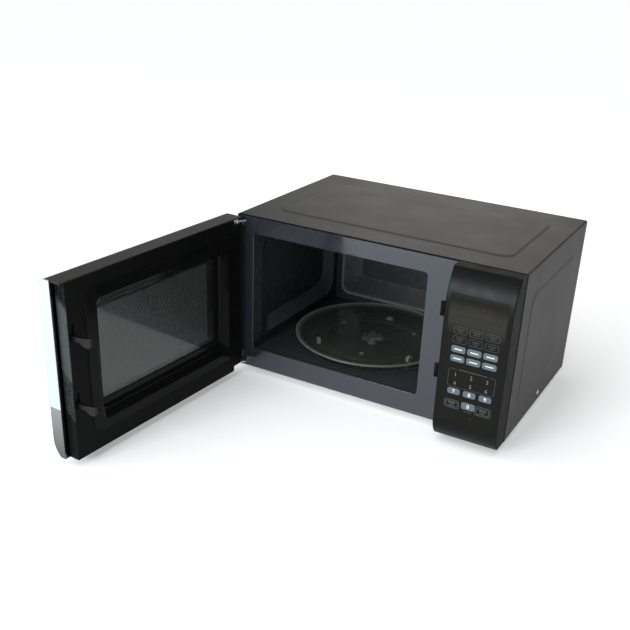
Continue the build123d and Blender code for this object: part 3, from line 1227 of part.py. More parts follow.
# Capacitor can with two terminals, and the diode beside it
CAPACITOR_Y_AT = Y_FRONT + CAPACITOR_AT_Y
with BuildPart() as capacitor:
    with BuildSketch(Plane.XY.offset(BAY_FLOOR)):
        with Locations((BAY_MID, CAPACITOR_Y_AT)):
            SlotOverall(CAPACITOR_X, CAPACITOR_Y)
    extrude(amount=CAPACITOR_Z)
    with Locations((BAY_MID, CAPACITOR_Y_AT, BAY_FLOOR + CAPACITOR_Z + TERMINAL_H / 2)):
        with GridLocations(CAPACITOR_X / 2, 0, 2, 1):
            Cylinder(TERMINAL_R, TERMINAL_H)
write(capacitor.part, "capacitor")

DIODE_AT_X = BAY_MID + CAPACITOR_X / 2 + DIODE_GAP
with BuildPart() as diode:
    span_box(
        around(DIODE_AT_X, DIODE_R), around(CAPACITOR_Y_AT, DIODE_L), (BAY_FLOOR, BAY_FLOOR + DIODE_LUG_H)
    )
    with Locations((DIODE_AT_X, CAPACITOR_Y_AT, BAY_FLOOR + DIODE_LUG_H + DIODE_R / 2)):
        Cylinder(DIODE_R, DIODE_L, rotation=ALONG_Y)
write(diode.part, "diode")

# Fan: shroud on the rear panel, motor on its strap, and blades on the shaft
SHROUD_Y = (REAR_INNER - SHROUD_DEPTH, REAR_INNER)
DUCT_R = FAN_R + FAN_TIP_GAP
STRAP_Y = (SHROUD_Y[0] - STRAP_T, SHROUD_Y[0])
with BuildPart() as fan_shroud:
    with BuildSketch(upright(SHROUD_Y[0])):
        with Locations((FAN_X, FAN_AT_Z)):
            Rectangle(2 * (DUCT_R + SHROUD_MARGIN), 2 * (DUCT_R + SHROUD_MARGIN))
            Circle(DUCT_R, mode=Mode.SUBTRACT)
    extrude(amount=-SHROUD_WALL)
    with BuildSketch(upright(SHROUD_Y[0])):
        with Locations((FAN_X, FAN_AT_Z)):
            Circle(DUCT_R + SHROUD_WALL)
            Circle(DUCT_R, mode=Mode.SUBTRACT)
    extrude(amount=-SHROUD_DEPTH)
    span_box(around(FAN_X, 2 * (DUCT_R + SHROUD_MARGIN)), STRAP_Y, around(FAN_AT_Z, STRAP_W))
    with Locations((FAN_X, SHROUD_Y[0], FAN_AT_Z)):
        Cylinder(FAN_SHAFT_R + SHEET, 4 * STRAP_T, rotation=ALONG_Y, mode=Mode.SUBTRACT)
write(fan_shroud.part, "fan_shroud")

STACK_SPAN_Y = (STRAP_Y[0] - STACK_Y, STRAP_Y[0])
COIL_AT_Z = FAN_AT_Z - STACK_Z / 2
with BuildPart() as fan_motor:
    span_box(around(FAN_X, STACK_X), STACK_SPAN_Y, around(FAN_AT_Z, STACK_Z))
    span_box(
        around(FAN_X, FAN_COIL_X),
        (STACK_SPAN_Y[1] - FAN_COIL_Y, STACK_SPAN_Y[1]),
        (COIL_AT_Z - FAN_COIL_Z, COIL_AT_Z),
    )
    with Locations((FAN_X, sum(STACK_SPAN_Y) / 2, FAN_AT_Z)):
        Cylinder(FAN_SHAFT_R + RUNNING, 2 * STACK_Y, rotation=ALONG_Y, mode=Mode.SUBTRACT)
write(fan_motor.part, "fan_motor")

FAN_MID_Y = SHROUD_Y[0] + SHROUD_WALL + FAN_DEPTH / 2
FAN_SHAFT_Y = (STACK_SPAN_Y[0], FAN_MID_Y + FAN_DEPTH / 2)
with BuildPart() as fan_shaft:
    with Locations((FAN_X, sum(FAN_SHAFT_Y) / 2, FAN_AT_Z)):
        Cylinder(FAN_SHAFT_R, FAN_SHAFT_Y[1] - FAN_SHAFT_Y[0], rotation=ALONG_Y)
write(fan_shaft.part, "fan_shaft")

with BuildPart(Plane((FAN_X, FAN_MID_Y, FAN_AT_Z), (1, 0, 0), (0, -1, 0))) as fan_blades:
    with PolarLocations(FAN_R / 2, FAN_BLADES):
        Box(FAN_R, FAN_BLADE_T, FAN_DEPTH, rotation=(FAN_PITCH, 0, 0))
    Cylinder(FAN_R, FAN_DEPTH, mode=Mode.INTERSECT)
    Cylinder(FAN_HUB_R, FAN_DEPTH)
    Cylinder(FAN_SHAFT_R, 2 * FAN_DEPTH, mode=Mode.SUBTRACT)
write(fan_blades.part, "fan_blades")

# Noise filter board on its posts, behind the transformer
FILTER_BOARD_Y_AT = REAR_INNER - FILTER_BOARD_Y / 2 - FILTER_POST_R
BOARD_BOTTOM = BAY_FLOOR + FILTER_BOARD_Z
with BuildPart() as filter_board:
    with Locations((BAY_MID, FILTER_BOARD_Y_AT, BOARD_BOTTOM + BOARD_T / 2)):
        Box(FILTER_BOARD_X, FILTER_BOARD_Y, BOARD_T)
    with Locations((BAY_MID, FILTER_BOARD_Y_AT, BAY_FLOOR + FILTER_BOARD_Z / 2)):
        with GridLocations(FILTER_BOARD_X - 4 * FILTER_POST_R, FILTER_BOARD_Y - 4 * FILTER_POST_R, 2, 2):
            Cylinder(FILTER_POST_R, FILTER_BOARD_Z)
    coil_z = BOARD_BOTTOM + BOARD_T + CHOKE_COIL_H / 2
    with Locations((BAY_MID - CHOKE_COIL_R, FILTER_BOARD_Y_AT, coil_z)):
        Cylinder(CHOKE_COIL_R, CHOKE_COIL_H)
    with Locations((BAY_MID + CHOKE_COIL_R, FILTER_BOARD_Y_AT, BOARD_BOTTOM + BOARD_T + FUSE_SEAT)):
        Cylinder(FUSE_R, FUSE_L, rotation=ALONG_Y)
write(filter_board.part, "filter_board")

# Mains gland in the rear panel
with BuildPart() as mains_gland:
    with Locations((GLAND_AT[0], Y_BACK - SHEET + GLAND_FLANGE_T / 2, GLAND_AT[1])):
        Cylinder(GLAND_FLANGE_R, GLAND_FLANGE_T, rotation=ALONG_Y)
    with Locations((GLAND_AT[0], Y_BACK - 3 * SHEET / 2, GLAND_AT[1])):
        Cylinder(GLAND_R, SHEET, rotation=ALONG_Y)
    with Locations((GLAND_AT[0], REAR_INNER - GLAND_FLANGE_T / 2, GLAND_AT[1])):
        Cylinder(GLAND_FLANGE_R, GLAND_FLANGE_T, rotation=ALONG_Y)
    with Locations((GLAND_AT[0], Y_BACK, GLAND_AT[1])):
        Cylinder(GLAND_BORE_R, 8 * GLAND_FLANGE_T, rotation=ALONG_Y, mode=Mode.SUBTRACT)
write(mains_gland.part, "mains_gland")

# Thermal cut-outs on the cavity ceiling and on the magnetron
with BuildPart() as thermal_cutouts:
    with Locations((CAVITY_MID[0], CAVITY_MID[1], CAVITY_Z[1] + SHEET + CUTOUT_H / 2)):
        Cylinder(CUTOUT_R, CUTOUT_H)
    with Locations((sum(YOKE_SPAN_X) / 2, PORT_Y, YOKE_SPAN_Z[1] + CUTOUT_H / 2)):
        Cylinder(CUTOUT_R, CUTOUT_H)
write(thermal_cutouts.part, "thermal_cutouts")

# Lamp holder on the right wall, and the lamp in it
HOLDER_X = (BAY_X[0], BAY_X[0] + LAMP_BOX_X)
with BuildPart() as lamp_holder:
    span_box(HOLDER_X, around(LAMP_AT[0], LAMP_BOX), around(LAMP_AT[1], LAMP_BOX))
    span_box(
        (HOLDER_X[0] - SHEET, HOLDER_X[1] - LAMP_WALL),
        around(LAMP_AT[0], LAMP_BOX - 2 * LAMP_WALL),
        around(LAMP_AT[1], LAMP_BOX - 2 * LAMP_WALL),
        mode=Mode.SUBTRACT,
    )
write(lamp_holder.part, "lamp_holder")

BULB_X = (HOLDER_X[1] - LAMP_WALL - BULB_L, HOLDER_X[1] - LAMP_WALL)
with BuildPart() as lamp:
    with Locations((sum(BULB_X) / 2, *LAMP_AT)):
        Cylinder(BULB_R, BULB_L, rotation=ALONG_X)
    fillet(lamp.edges().filter_by(GeomType.CIRCLE).sort_by(Axis.X)[0], BULB_R * 0.8)
write(lamp.part, "lamp")
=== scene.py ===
"""Looks of a countertop microwave oven with its door open.

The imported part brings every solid. This script gives each one its finish, adds what is printed, too fine
for the solids or changes its shape (keys, digits, holes of the door screen, cross-head screws, the coil of
the latch spring), and sets floor, light and camera.
Lengths are in metres unless a name or a heading says otherwise; X is right, Y is back, Z is up.
"""

import json
import math

import bmesh
import bpy
from mathutils import Matrix, Vector
from mathutils.bvhtree import BVHTree


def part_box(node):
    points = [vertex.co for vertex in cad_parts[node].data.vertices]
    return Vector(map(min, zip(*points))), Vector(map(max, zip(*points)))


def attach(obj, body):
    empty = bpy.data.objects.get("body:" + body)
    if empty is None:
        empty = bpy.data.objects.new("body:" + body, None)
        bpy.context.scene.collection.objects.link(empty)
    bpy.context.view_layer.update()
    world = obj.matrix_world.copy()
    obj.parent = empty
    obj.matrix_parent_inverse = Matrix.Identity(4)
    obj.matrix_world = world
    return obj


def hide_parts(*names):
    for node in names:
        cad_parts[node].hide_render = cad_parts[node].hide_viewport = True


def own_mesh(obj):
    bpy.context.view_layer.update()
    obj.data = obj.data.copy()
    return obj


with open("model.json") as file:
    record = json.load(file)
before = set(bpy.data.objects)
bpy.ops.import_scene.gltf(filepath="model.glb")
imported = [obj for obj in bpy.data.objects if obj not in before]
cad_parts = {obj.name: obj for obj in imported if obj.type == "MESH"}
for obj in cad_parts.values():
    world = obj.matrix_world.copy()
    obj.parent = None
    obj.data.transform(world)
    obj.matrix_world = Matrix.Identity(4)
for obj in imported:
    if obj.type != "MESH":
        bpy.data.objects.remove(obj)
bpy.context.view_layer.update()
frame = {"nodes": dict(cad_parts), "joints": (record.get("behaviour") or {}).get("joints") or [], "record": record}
NODES = frame["nodes"]
MM = 0.001

# Camera, matched to the photograph's view
CAMERA_AT = (0.5175, -1.2332, 0.6579)
CAMERA_TURN_DEG = (64.196, -2.350, 29.607)
CAMERA_SENSOR_MM = 36.0
CAMERA_LENS_MM = 51.35
CAMERA_SHIFT = (-0.0103, 0.0687)

# Studio
FLOOR_RADIUS = 40.0
FLOOR_SIDES = 64
FLOOR_LIGHT = (0.93, 0.93, 0.93)
FLOOR_DARK = (0.92, 0.92, 0.92)
FLOOR_GLOW = 0.24
CAMERA_REACH = 3 * FLOOR_RADIUS
WORLD_COLOUR = (0.97, 0.985, 1.0)
WORLD_STRENGTH = 0.42
KEY_LIGHT_STRENGTH = 1.55
KEY_LIGHT_ANGLE_DEG = 70.0
KEY_LIGHT_TURN_DEG = (30.0, -22.0, 0.0)
KEY_LIGHT_AT = (0.0, 0.0, 3.0)
SOFT_BOXES = (
    # name, place, place it faces, width, height, watts, colour
    ("back_box", (-0.80, 2.25, 1.05), (0.05, 0.0, 0.26), 1.2, 0.7, 8.5, (1.0, 0.97, 0.93)),
    ("front_box", (-0.46, -2.24, 0.80), (0.10, -0.1, 0.20), 0.9, 0.5, 30.0, (0.92, 0.97, 1.0)),
)

# Printed keys, in millimetres from the lower left corner of the key film; plain bars stand for words
OUTLINE_STROKE = 0.55
BAR_STROKE = 0.9
KEY_COLUMNS = (19.0, 41.7, 64.4)
KEY_CORNER = 3.0
OUTLINE_KEY_SIZE = (19.2, 10.3)
OUTLINE_KEY_ROWS = (135.35, 121.7)
OUTLINE_BAR_RISES = (1.5, -1.5)
OUTLINE_BAR_LENGTHS = (11.0, 7.0)
SLATE_KEY_SIZE = (20.2, 9.6)
SLATE_KEY_ROWS = (107.85, 94.05)
SLATE_BAR_LENGTH = 11.5
SLATE_BAR_STROKE = 1.6
DIGIT_KEY_SIZE = (18.2, 9.2)
DIGIT_KEY_ROW = 44.95
PLAIN_DIGIT_ROWS = (70.7, 57.4)
BRACKET_X = (8.6, 75.8)
BRACKET_Z = (51.7, 78.7)
BRACKET_CORNER = 4.0
BRACKET_GAP = (20.0, 66.5)
BRACKET_BAR_CLEARANCE = 3.0
BRACKET_BAR_STROKE = 1.1
ZERO_KEY_AT = (41.95, 27.0)
ZERO_KEY_SIZE = (19.4, 10.4)
ZERO_BAR_DROP = 8.3
ZERO_BAR_LENGTH = 12.0
STOP_KEY_AT = (18.2, 25.2)
STOP_KEY_SIZE = (21.6, 12.6)
START_KEY_AT = (63.2, 25.0)
START_KEY_SIZE = (22.6, 14.0)
ACTION_INNER_INSET = 2.2
ACTION_INNER_CORNER = 2.0
ACTION_BARS = (
    # rise over the key's middle, length, stroke
    (1.7, 10.0, 1.5),
    (-1.9, 8.0, BAR_STROKE),
)
LAMP_DOT_AT = (46.7, 8.8)
LAMP_DOT_RADIUS = 0.55
CORNER_STEPS = 6
PAD_HEIGHT = 0.25
PAD_SLOPE = 0.35
INK_HEIGHT = 0.06
INK_SINK = 0.10
BOLD_DIGIT_HEIGHT = 5.6
PLAIN_DIGIT_HEIGHT = 5.6
BOLD_DIGIT_GROW = 0.022
PLAIN_DIGIT_GROW = 0.004
DIGIT_CURVE_STEPS = 5
PROBE_START = 100.0
MERGE_PLACES = 7

# Amber clock digits on the display lens, in millimetres from the same corner
CLOCK_DIGITS = 4
CLOCK_LEFT = 25.0
CLOCK_PITCH = 9.3
CLOCK_DIGIT_SIZE = (6.6, 9.7)
CLOCK_BOTTOM = 162.7
CLOCK_STROKE = 1.05
CLOCK_SPLIT = 0.18
CLOCK_SLANT = 0.09

# Perforated door screen: plain borders round the holes, columns of holes in close pairs
SCREEN_BORDER_HINGE = 19.0 * MM
SCREEN_BORDER_FREE = 2.5 * MM
SCREEN_BORDER_LOW = 11.9 * MM
SCREEN_BORDER_HIGH = 9.2 * MM
SCREEN_COLUMN_PITCH = 2.05 * MM
SCREEN_PAIR_SHIFT = 0.36 * MM
SCREEN_ROW_PITCH = 2.70 * MM
SCREEN_HOLE_RADIUS = 0.65 * MM
SCREEN_SHEET = 0.5 * MM

# Cross-head screws
SCREW_HEAD_RADIUS = 3.6 * MM
SCREW_HEAD_HEIGHT = 2.2 * MM
SCREW_SHANK_RADIUS = 1.9 * MM
SCREW_SHANK_LENGTH = 8.0 * MM
SCREW_SIDES = 40
SCREW_DOME_SHARE = 0.6
SCREW_DOME_STEP_DEG = 15
SIDE_SCREW_TURNS_DEG = (20, 65)
REAR_SCREW_TURNS_DEG = (10, 35, 50, 75)
CROSS_ARM = 1.9 * MM
CROSS_WIDTH = 0.85 * MM
CROSS_DEPTH = 1.3 * MM
CROSS_TAPER = 0.55

# Latch spring: round wire
COIL_WIRE_RADIUS = 0.35 * MM
COIL_PITCH = 2.6 * MM
COIL_STEPS = 24
COIL_SIDES = 8

# Shader nodes: usual range of a noise value, waves of the band texture in 2 pi, rays that look for edges,
# and the numbers of the colour sockets of a mix node
NOISE_SPAN = (0.3, 0.7)
BAND_WAVES = 20.0
EDGE_RAYS = 8
SOFT_EDGE_RAYS = 4
MIX_FIRST, MIX_SECOND, MIX_RESULT = 6, 7, 2


def darker(colour, share):
    return tuple(share * part for part in colour)


class Finish:
    """A Principled material whose colour, roughness and bump come from textures laid out in metres.

    The textures read object coordinates, so the grain keeps its real size and travels with moving parts.
    """

    def __init__(self, name, colour, roughness, **sockets):
        self.material = bpy.data.materials.new(name)
        self.material.use_nodes = True
        self.tree = self.material.node_tree
        self.shader = self.tree.nodes["Principled BSDF"]
        self.shader.inputs["Base Color"].default_value = (*colour, 1.0)
        self.shader.inputs["Roughness"].default_value = roughness
        for socket, value in sockets.items():
            self.shader.inputs[socket.replace("_", " ")].default_value = value
        self.coordinates = self.node("ShaderNodeTexCoord").outputs["Object"]

    def node(self, kind, **settings):
        made = self.tree.nodes.new(kind)
        for name, value in settings.items():
            setattr(made, name, value)
        return made

    def link(self, source, socket):
        self.tree.links.new(source, socket)

    def stretched(self, stretch):
        mapping = self.node("ShaderNodeMapping")
        mapping.inputs["Scale"].default_value = stretch
        self.link(self.coordinates, mapping.inputs["Vector"])
        return mapping.outputs["Vector"]

    def noise(self, size, detail=2.0, stretch=(1.0, 1.0, 1.0)):
        """Soft clouds of about the given size."""
        texture = self.node("ShaderNodeTexNoise")
        texture.inputs["Scale"].default_value = 1.0 / size
        texture.inputs["Detail"].default_value = detail
        self.link(self.stretched(stretch), texture.inputs["Vector"])
        return texture.outputs["Fac"]

    def cells(self, size, stretch=(1.0, 1.0, 1.0)):
        """Sharp-edged cells of about the given size, each with a value of its own."""
        texture = self.node("ShaderNodeTexVoronoi")
        texture.inputs["Scale"].default_value = 1.0 / size
        self.link(self.stretched(stretch), texture.inputs["Vector"])
        grey = self.node("ShaderNodeRGBToBW")
        self.link(texture.outputs["Color"], grey.inputs["Color"])
        return grey.outputs["Val"]

    def lines(self, pitch, axis):
        """Straight bands, one after another along an axis."""
        texture = self.node("ShaderNodeTexWave", wave_type="BANDS", bands_direction=axis)
        texture.inputs["Scale"].default_value = math.tau / (BAND_WAVES * pitch)
        self.link(self.coordinates, texture.inputs["Vector"])
        return texture.outputs["Fac"]

    def position(self, axis):
        split = self.node("ShaderNodeSeparateXYZ")
        self.link(self.coordinates, split.inputs["Vector"])
        return split.outputs[axis]

    def distance(self, middle):
        """Level distance from an upright line through middle."""
        away = self.node("ShaderNodeVectorMath", operation="DISTANCE")
        flat = self.stretched((1.0, 1.0, 0.0))
        self.link(flat, away.inputs[0])
        away.inputs[1].default_value = (middle.x, middle.y, 0.0)
        return away.outputs["Value"]

    def remap(self, value, source, target=(0.0, 1.0)):
        """The value, moved from the source range to the target range and kept within it."""
        scale = self.node("ShaderNodeMapRange")
        scale.inputs["From Min"].default_value = source[0]
        scale.inputs["From Max"].default_value = source[1]
        scale.inputs["To Min"].default_value = target[0]
        scale.inputs["To Max"].default_value = target[1]
        self.link(value, scale.inputs["Value"])
        return scale.outputs["Result"]

    def reach(self, vector, direction):
        """How far a vector reaches along a fixed direction."""
        product = self.node("ShaderNodeVectorMath", operation="DOT_PRODUCT")
        self.link(vector, product.inputs[0])
        product.inputs[1].default_value = direction
        return product.outputs["Value"]

    def along(self, direction):
        """How far a point lies along a direction."""
        return self.reach(self.coordinates, direction)

    def facing(self, direction):
        """How far a face looks in a direction: the direction's length straight, 0 across."""
        return self.reach(self.node("ShaderNodeNewGeometry").outputs["Normal"], direction)

    def rounded_normal(self, radius, rays):
        """The surface's direction as if its edges were rounded."""
        bevel = self.node("ShaderNodeBevel", samples=rays)
        bevel.inputs["Radius"].default_value = radius
        return bevel.outputs["Normal"]

    def edges(self, radius, span=(0.98, 0.80)):
        """How far a point lies on an edge: 0 to 1 as its true and rounded normals agree less."""
        agree = self.node("ShaderNodeVectorMath", operation="DOT_PRODUCT")
        self.link(self.rounded_normal(radius, EDGE_RAYS), agree.inputs[0])
        self.link(self.node("ShaderNodeNewGeometry").outputs["Normal"], agree.inputs[1])
        return self.remap(agree.outputs["Value"], span)

    def shades(self, value, dark, light, span=NOISE_SPAN):
        """Colour from dark to light as value crosses span."""
        ramp = self.node("ShaderNodeValToRGB")
        low, high = ramp.color_ramp.elements
        low.position, high.position = span
        low.color = (*dark, 1.0)
        high.color = (*light, 1.0)
        self.link(value, ramp.inputs["Fac"])
        return ramp.outputs["Color"]

    def blend(self, share, first, second):
        """The first colour, giving way to the second as share goes from 0 to 1."""
        mix = self.node("ShaderNodeMix", data_type="RGBA")
        self.link(share, mix.inputs["Factor"])
        self.link(first, mix.inputs[MIX_FIRST])
        self.link(second, mix.inputs[MIX_SECOND])
        return mix.outputs[MIX_RESULT]

    def colour(self, source):
        self.link(source, self.shader.inputs["Base Color"])
        return self

    def roughness(self, value, low, high, span=NOISE_SPAN):
        self.link(self.remap(value, span, (low, high)), self.shader.inputs["Roughness"])
        return self

    def two_roughnesses(self, share, value, first, second):
        """Roughness within the first limits, giving way to the second ones as share goes from 0 to 1."""
        mix = self.node("ShaderNodeMix", data_type="FLOAT")
        self.link(share, mix.inputs["Factor"])
        self.link(self.remap(value, NOISE_SPAN, first), mix.inputs["A"])
        self.link(self.remap(value, NOISE_SPAN, second), mix.inputs["B"])
        self.link(mix.outputs["Result"], self.shader.inputs["Roughness"])
        return self

    def bump(self, height, depth, edge_radius=0.0):
        """Relief of the surface, over edges that are softly rounded if a radius is given."""
        relief = self.node("ShaderNodeBump")
        relief.inputs["Distance"].default_value = depth
        self.link(height, relief.inputs["Height"])
        if edge_radius > 0:
            self.link(self.rounded_normal(edge_radius, SOFT_EDGE_RAYS), relief.inputs["Normal"])
        self.link(relief.outputs["Normal"], self.shader.inputs["Normal"])
        return self


# Sheet metal finishes

CASE_FRONT_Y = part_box("outer_case")[0].y
# Depths behind the case's front edge over which the painted shade of the gap fades in
CASE_GAP_SHADE_Y = (CASE_FRONT_Y + 2.2 * MM, CASE_FRONT_Y + 1.6 * MM)


def case_paint():
    """Satin charcoal powder coat: fine orange peel, edges rubbed lighter, and a painted shade of the gap along the
    front edge.
    """
    f = Finish("case_paint", (0.030, 0.029, 0.0275), 0.58, Specular_IOR_Level=0.34)
    cloud = f.noise(0.12, detail=2.0)
    body = f.shades(cloud, (0.0292, 0.0280, 0.0265), (0.0312, 0.0300, 0.0285))
    rubbed = f.shades(f.noise(0.006), (0.050, 0.048, 0.045), (0.070, 0.067, 0.063))
    # painted shade: a strip along the front edge is coloured near black and made rough, standing for the gap's
    # shadow
    gap_shade_share = f.remap(f.position("Y"), CASE_GAP_SHADE_Y)
    painted_gap_shade = f.shades(f.noise(0.006), (0.0015, 0.0015, 0.0015), (0.0030, 0.0030, 0.0030))
    f.colour(f.blend(gap_shade_share, f.blend(f.edges(0.0012), body, rubbed), painted_gap_shade))
    f.two_roughnesses(gap_shade_share, f.noise(0.05, detail=2.0), (0.56, 0.61), (0.96, 1.0))
    return f.bump(f.noise(0.0011, detail=1.0), 0.00002)


def front_enamel():
    """Blue-grey gloss enamel with faint wipe marks and a painted highlight along its edges."""
    f = Finish("front_enamel", (0.020, 0.0215, 0.027), 0.09, Specular_IOR_Level=0.95,
               Specular_Tint=(0.84, 0.92, 1.0, 1.0))
    body = f.shades(f.noise(0.05, detail=3.0), (0.0190, 0.0205, 0.0258), (0.0210, 0.0226, 0.0283))
    # painted highlight: the enamel is coloured paler along the edges, where the rounded normal departs from the
    # true one
    rim = f.shades(f.noise(0.004), (0.085, 0.095, 0.110), (0.120, 0.132, 0.150))
    f.colour(f.blend(f.edges(0.0008), body, rim))
    smear = f.noise(0.022, detail=5.0, stretch=(1.0, 1.0, 1.8))
    f.roughness(smear, 0.07, 0.13, span=(0.42, 0.68))
    return f.bump(f.noise(0.0018, detail=1.0), 0.000004)


def baked_enamel(name):
    """Dark blue-grey enamel, baked on, with slight orange peel."""
    f = Finish(name, (0.036, 0.0365, 0.041), 0.28, Specular_IOR_Level=0.25)
    body = f.shades(f.noise(0.06, detail=2.0), (0.0340, 0.0345, 0.0388), (0.0380, 0.0386, 0.0434))
    f.roughness(f.noise(0.03, detail=3.0), 0.24, 0.32)
    return f.bump(f.noise(0.004, detail=1.0), 0.00001), body


def cavity_enamel():
    """Baked enamel with a painted highlight over the pressed edges."""
    f, body = baked_enamel("cavity_enamel")
    # painted highlight: the pressed edges are coloured pale, as if they caught the light
    painted_highlight = f.shades(f.noise(0.02, detail=2.0), (0.150, 0.155, 0.172), (0.200, 0.206, 0.226))
    return f.colour(f.blend(f.edges(0.0018, span=(0.9992, 0.993)), body, painted_highlight))


FORWARDS_AND_UP = (0.0, -0.7, 0.7)


def vented_enamel():
    """Baked enamel of the vented left wall, with painted light on slopes that look forwards or up."""
    f, body = baked_enamel("vented_enamel")
    # painted light: slopes that face forwards or up are coloured paler, as if lit
    painted_highlight = f.shades(f.noise(0.02, detail=2.0), (0.078, 0.080, 0.090), (0.097, 0.100, 0.111))
    return f.colour(f.blend(f.remap(f.facing(FORWARDS_AND_UP), (0.08, 0.30)), body, painted_highlight))


def zinc(name, grain, low, high, rough):
    """Zinc-coated steel: flat crystal spangles, each with its own tone and gloss."""
    f = Finish(name, high, rough, Metallic=1.0)
    spangle = f.cells(grain)
    f.colour(f.shades(spangle, low, high, span=(0.1, 0.9)))
    f.roughness(spangle, rough - 0.08, rough + 0.1, span=(0.1, 0.9))
    return f.bump(f.noise(grain / 6.0, detail=3.0), 0.00002)


def galvanised():
    return zinc("galvanised", 0.011, (0.46, 0.47, 0.48), (0.64, 0.65, 0.66), 0.34)


def screw_steel():
    """Bright zinc plating with a very fine spangle."""
    return zinc("screw_steel", 0.0012, (0.60, 0.62, 0.64), (0.74, 0.76, 0.78), 0.26)


def spring_steel():
    """Drawn steel with upright scratches."""
    colour = (0.55, 0.55, 0.57)
    f = Finish("spring_steel", colour, 0.28, Metallic=1.0)
    scratch = f.noise(0.0009, detail=3.0, stretch=(1.0, 1.0, 0.08))
    f.colour(f.shades(scratch, darker(colour, 0.8), colour))
    f.roughness(scratch, 0.22, 0.38)
    return f.bump(scratch, 0.00001)


def screen_steel():
    """Thin perforated sheet under dark grey paint."""
    f = Finish("screen_steel", (0.012, 0.012, 0.013), 0.42)
    f.colour(f.shades(f.noise(0.012, detail=3.0), (0.010, 0.010, 0.011), (0.016, 0.016, 0.017)))
    f.roughness(f.noise(0.004), 0.36, 0.5)
    return f.bump(f.noise(0.0006), 0.00001)


def core_iron():
    """Stacked laminations under varnish, with rust-brown tones."""
    f = Finish("core_iron", (0.10, 0.09, 0.08), 0.5, Metallic=0.5)
    layers = f.lines(0.0010, "Y")
    f.colour(f.blend(layers, f.shades(f.noise(0.02, detail=4.0), (0.05, 0.045, 0.04), (0.11, 0.085, 0.06)),
                     f.shades(f.noise(0.01), (0.12, 0.11, 0.10), (0.18, 0.165, 0.15))))
    f.roughness(f.noise(0.01, detail=3.0), 0.4, 0.62)
    return f.bump(layers, 0.00012)


def copper():
    """Layers of enamelled copper wire laid side by side."""
    f = Finish("copper", (0.52, 0.20, 0.09), 0.3, Metallic=0.9, Coat_Weight=0.5, Coat_Roughness=0.15)
    turns = f.lines(0.0011, "Z")
    f.colour(f.blend(turns, f.shades(f.noise(0.02), (0.16, 0.05, 0.02), (0.24, 0.08, 0.03)),
                     f.shades(f.noise(0.015), (0.48, 0.18, 0.07), (0.60, 0.25, 0.11))))
    f.roughness(f.noise(0.008), 0.24, 0.4)
    return f.bump(turns, 0.0002)


def fin_aluminium():
    """Rolled aluminium with fine straight rolling lines."""
    f = Finish("fin_aluminium", (0.72, 0.73, 0.74), 0.32, Metallic=1.0)
    rolled = f.noise(0.002, detail=4.0, stretch=(1.0, 0.06, 1.0))
    f.colour(f.shades(rolled, (0.60, 0.61, 0.62), (0.76, 0.77, 0.78)))
    f.roughness(rolled, 0.24, 0.42)
    return f.bump(rolled, 0.00001)


# Heights over the worktop: the painted reflection of the floor at the strip's foot grows paler over the first
# range and stops within the second
TRIM_FLOOR_REFLECTION_Z = (0.016, 0.084)
TRIM_FLOOR_REFLECTION_TOP = (0.0840, 0.0848)


def polished_trim():
    """Polished strip at the door's free end: hairline marks, bluish dark edges, and a painted grey reflection of
    the floor at its foot.
    """
    f = Finish("polished_trim", (0.74, 0.81, 0.83), 0.10, Metallic=1.0)
    hair = f.noise(0.0015, detail=4.0, stretch=(1.0, 1.0, 0.03))
    bright = f.shades(hair, (0.64, 0.73, 0.75), (0.69, 0.78, 0.80))
    # painted reflection: the foot of the strip is coloured grey, darker lower down, as the mirrored floor would
    # look
    painted_floor_reflection = f.shades(f.remap(f.position("Z"), TRIM_FLOOR_REFLECTION_Z), (0.12, 0.13, 0.12), (0.30, 0.31, 0.305),
                     span=(0.0, 1.0))
    skin = f.blend(f.remap(f.position("Z"), TRIM_FLOOR_REFLECTION_TOP), painted_floor_reflection, bright)
    rim = f.shades(hair, (0.10, 0.17, 0.25), (0.15, 0.23, 0.33))
    f.colour(f.blend(f.edges(0.0018), skin, rim))
    f.roughness(hair, 0.07, 0.16)
    return f.bump(f.noise(0.02, detail=1.0), 0.00002)


# Plastics and rubber

def moulded(name, dark, light, rough, grain, depth, **sockets):
    """Moulded plastic: spark-eroded grain from the tool, a little cloudy in colour and gloss."""
    f = Finish(name, light, rough, **sockets)
    f.colour(f.shades(f.noise(0.04, detail=3.0), dark, light))
    f.roughness(f.noise(0.012, detail=4.0), rough - 0.05, rough + 0.07)
    return f.bump(f.noise(grain, detail=2.0), depth)


FORWARDS = (0.0, -1.0, 0.0)


def panel_plastic():
    """Dark panel moulding: satin front, coarse top and sides, corners polished slightly by hands."""
    f = Finish("panel_plastic", (0.0032, 0.0033, 0.0033), 0.38, Specular_IOR_Level=0.14)
    body = f.shades(f.noise(0.05, detail=3.0), (0.0029, 0.0030, 0.0030), (0.0035, 0.0036, 0.0036))
    worn = f.shades(f.noise(0.01), (0.010, 0.0105, 0.011), (0.014, 0.0147, 0.015))
    f.colour(f.blend(f.edges(0.0015), body, worn))
    away = f.remap(f.facing(FORWARDS), (0.85, 0.4))
    f.two_roughnesses(away, f.noise(0.02, detail=4.0), (0.34, 0.41), (0.62, 0.72))
    return f.bump(f.noise(0.0006, detail=2.0), 0.00002)


FILM_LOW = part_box("keypad_membrane")[0]
# Heights on the film: the painted highlight band fades in over the first range, the painted shade over the second
FILM_HIGHLIGHT_BAND_Z = (FILM_LOW.z + 0.128, FILM_LOW.z + 0.146)
FILM_TOP_SHADE_Z = (FILM_LOW.z + 0.162, FILM_LOW.z + 0.178)


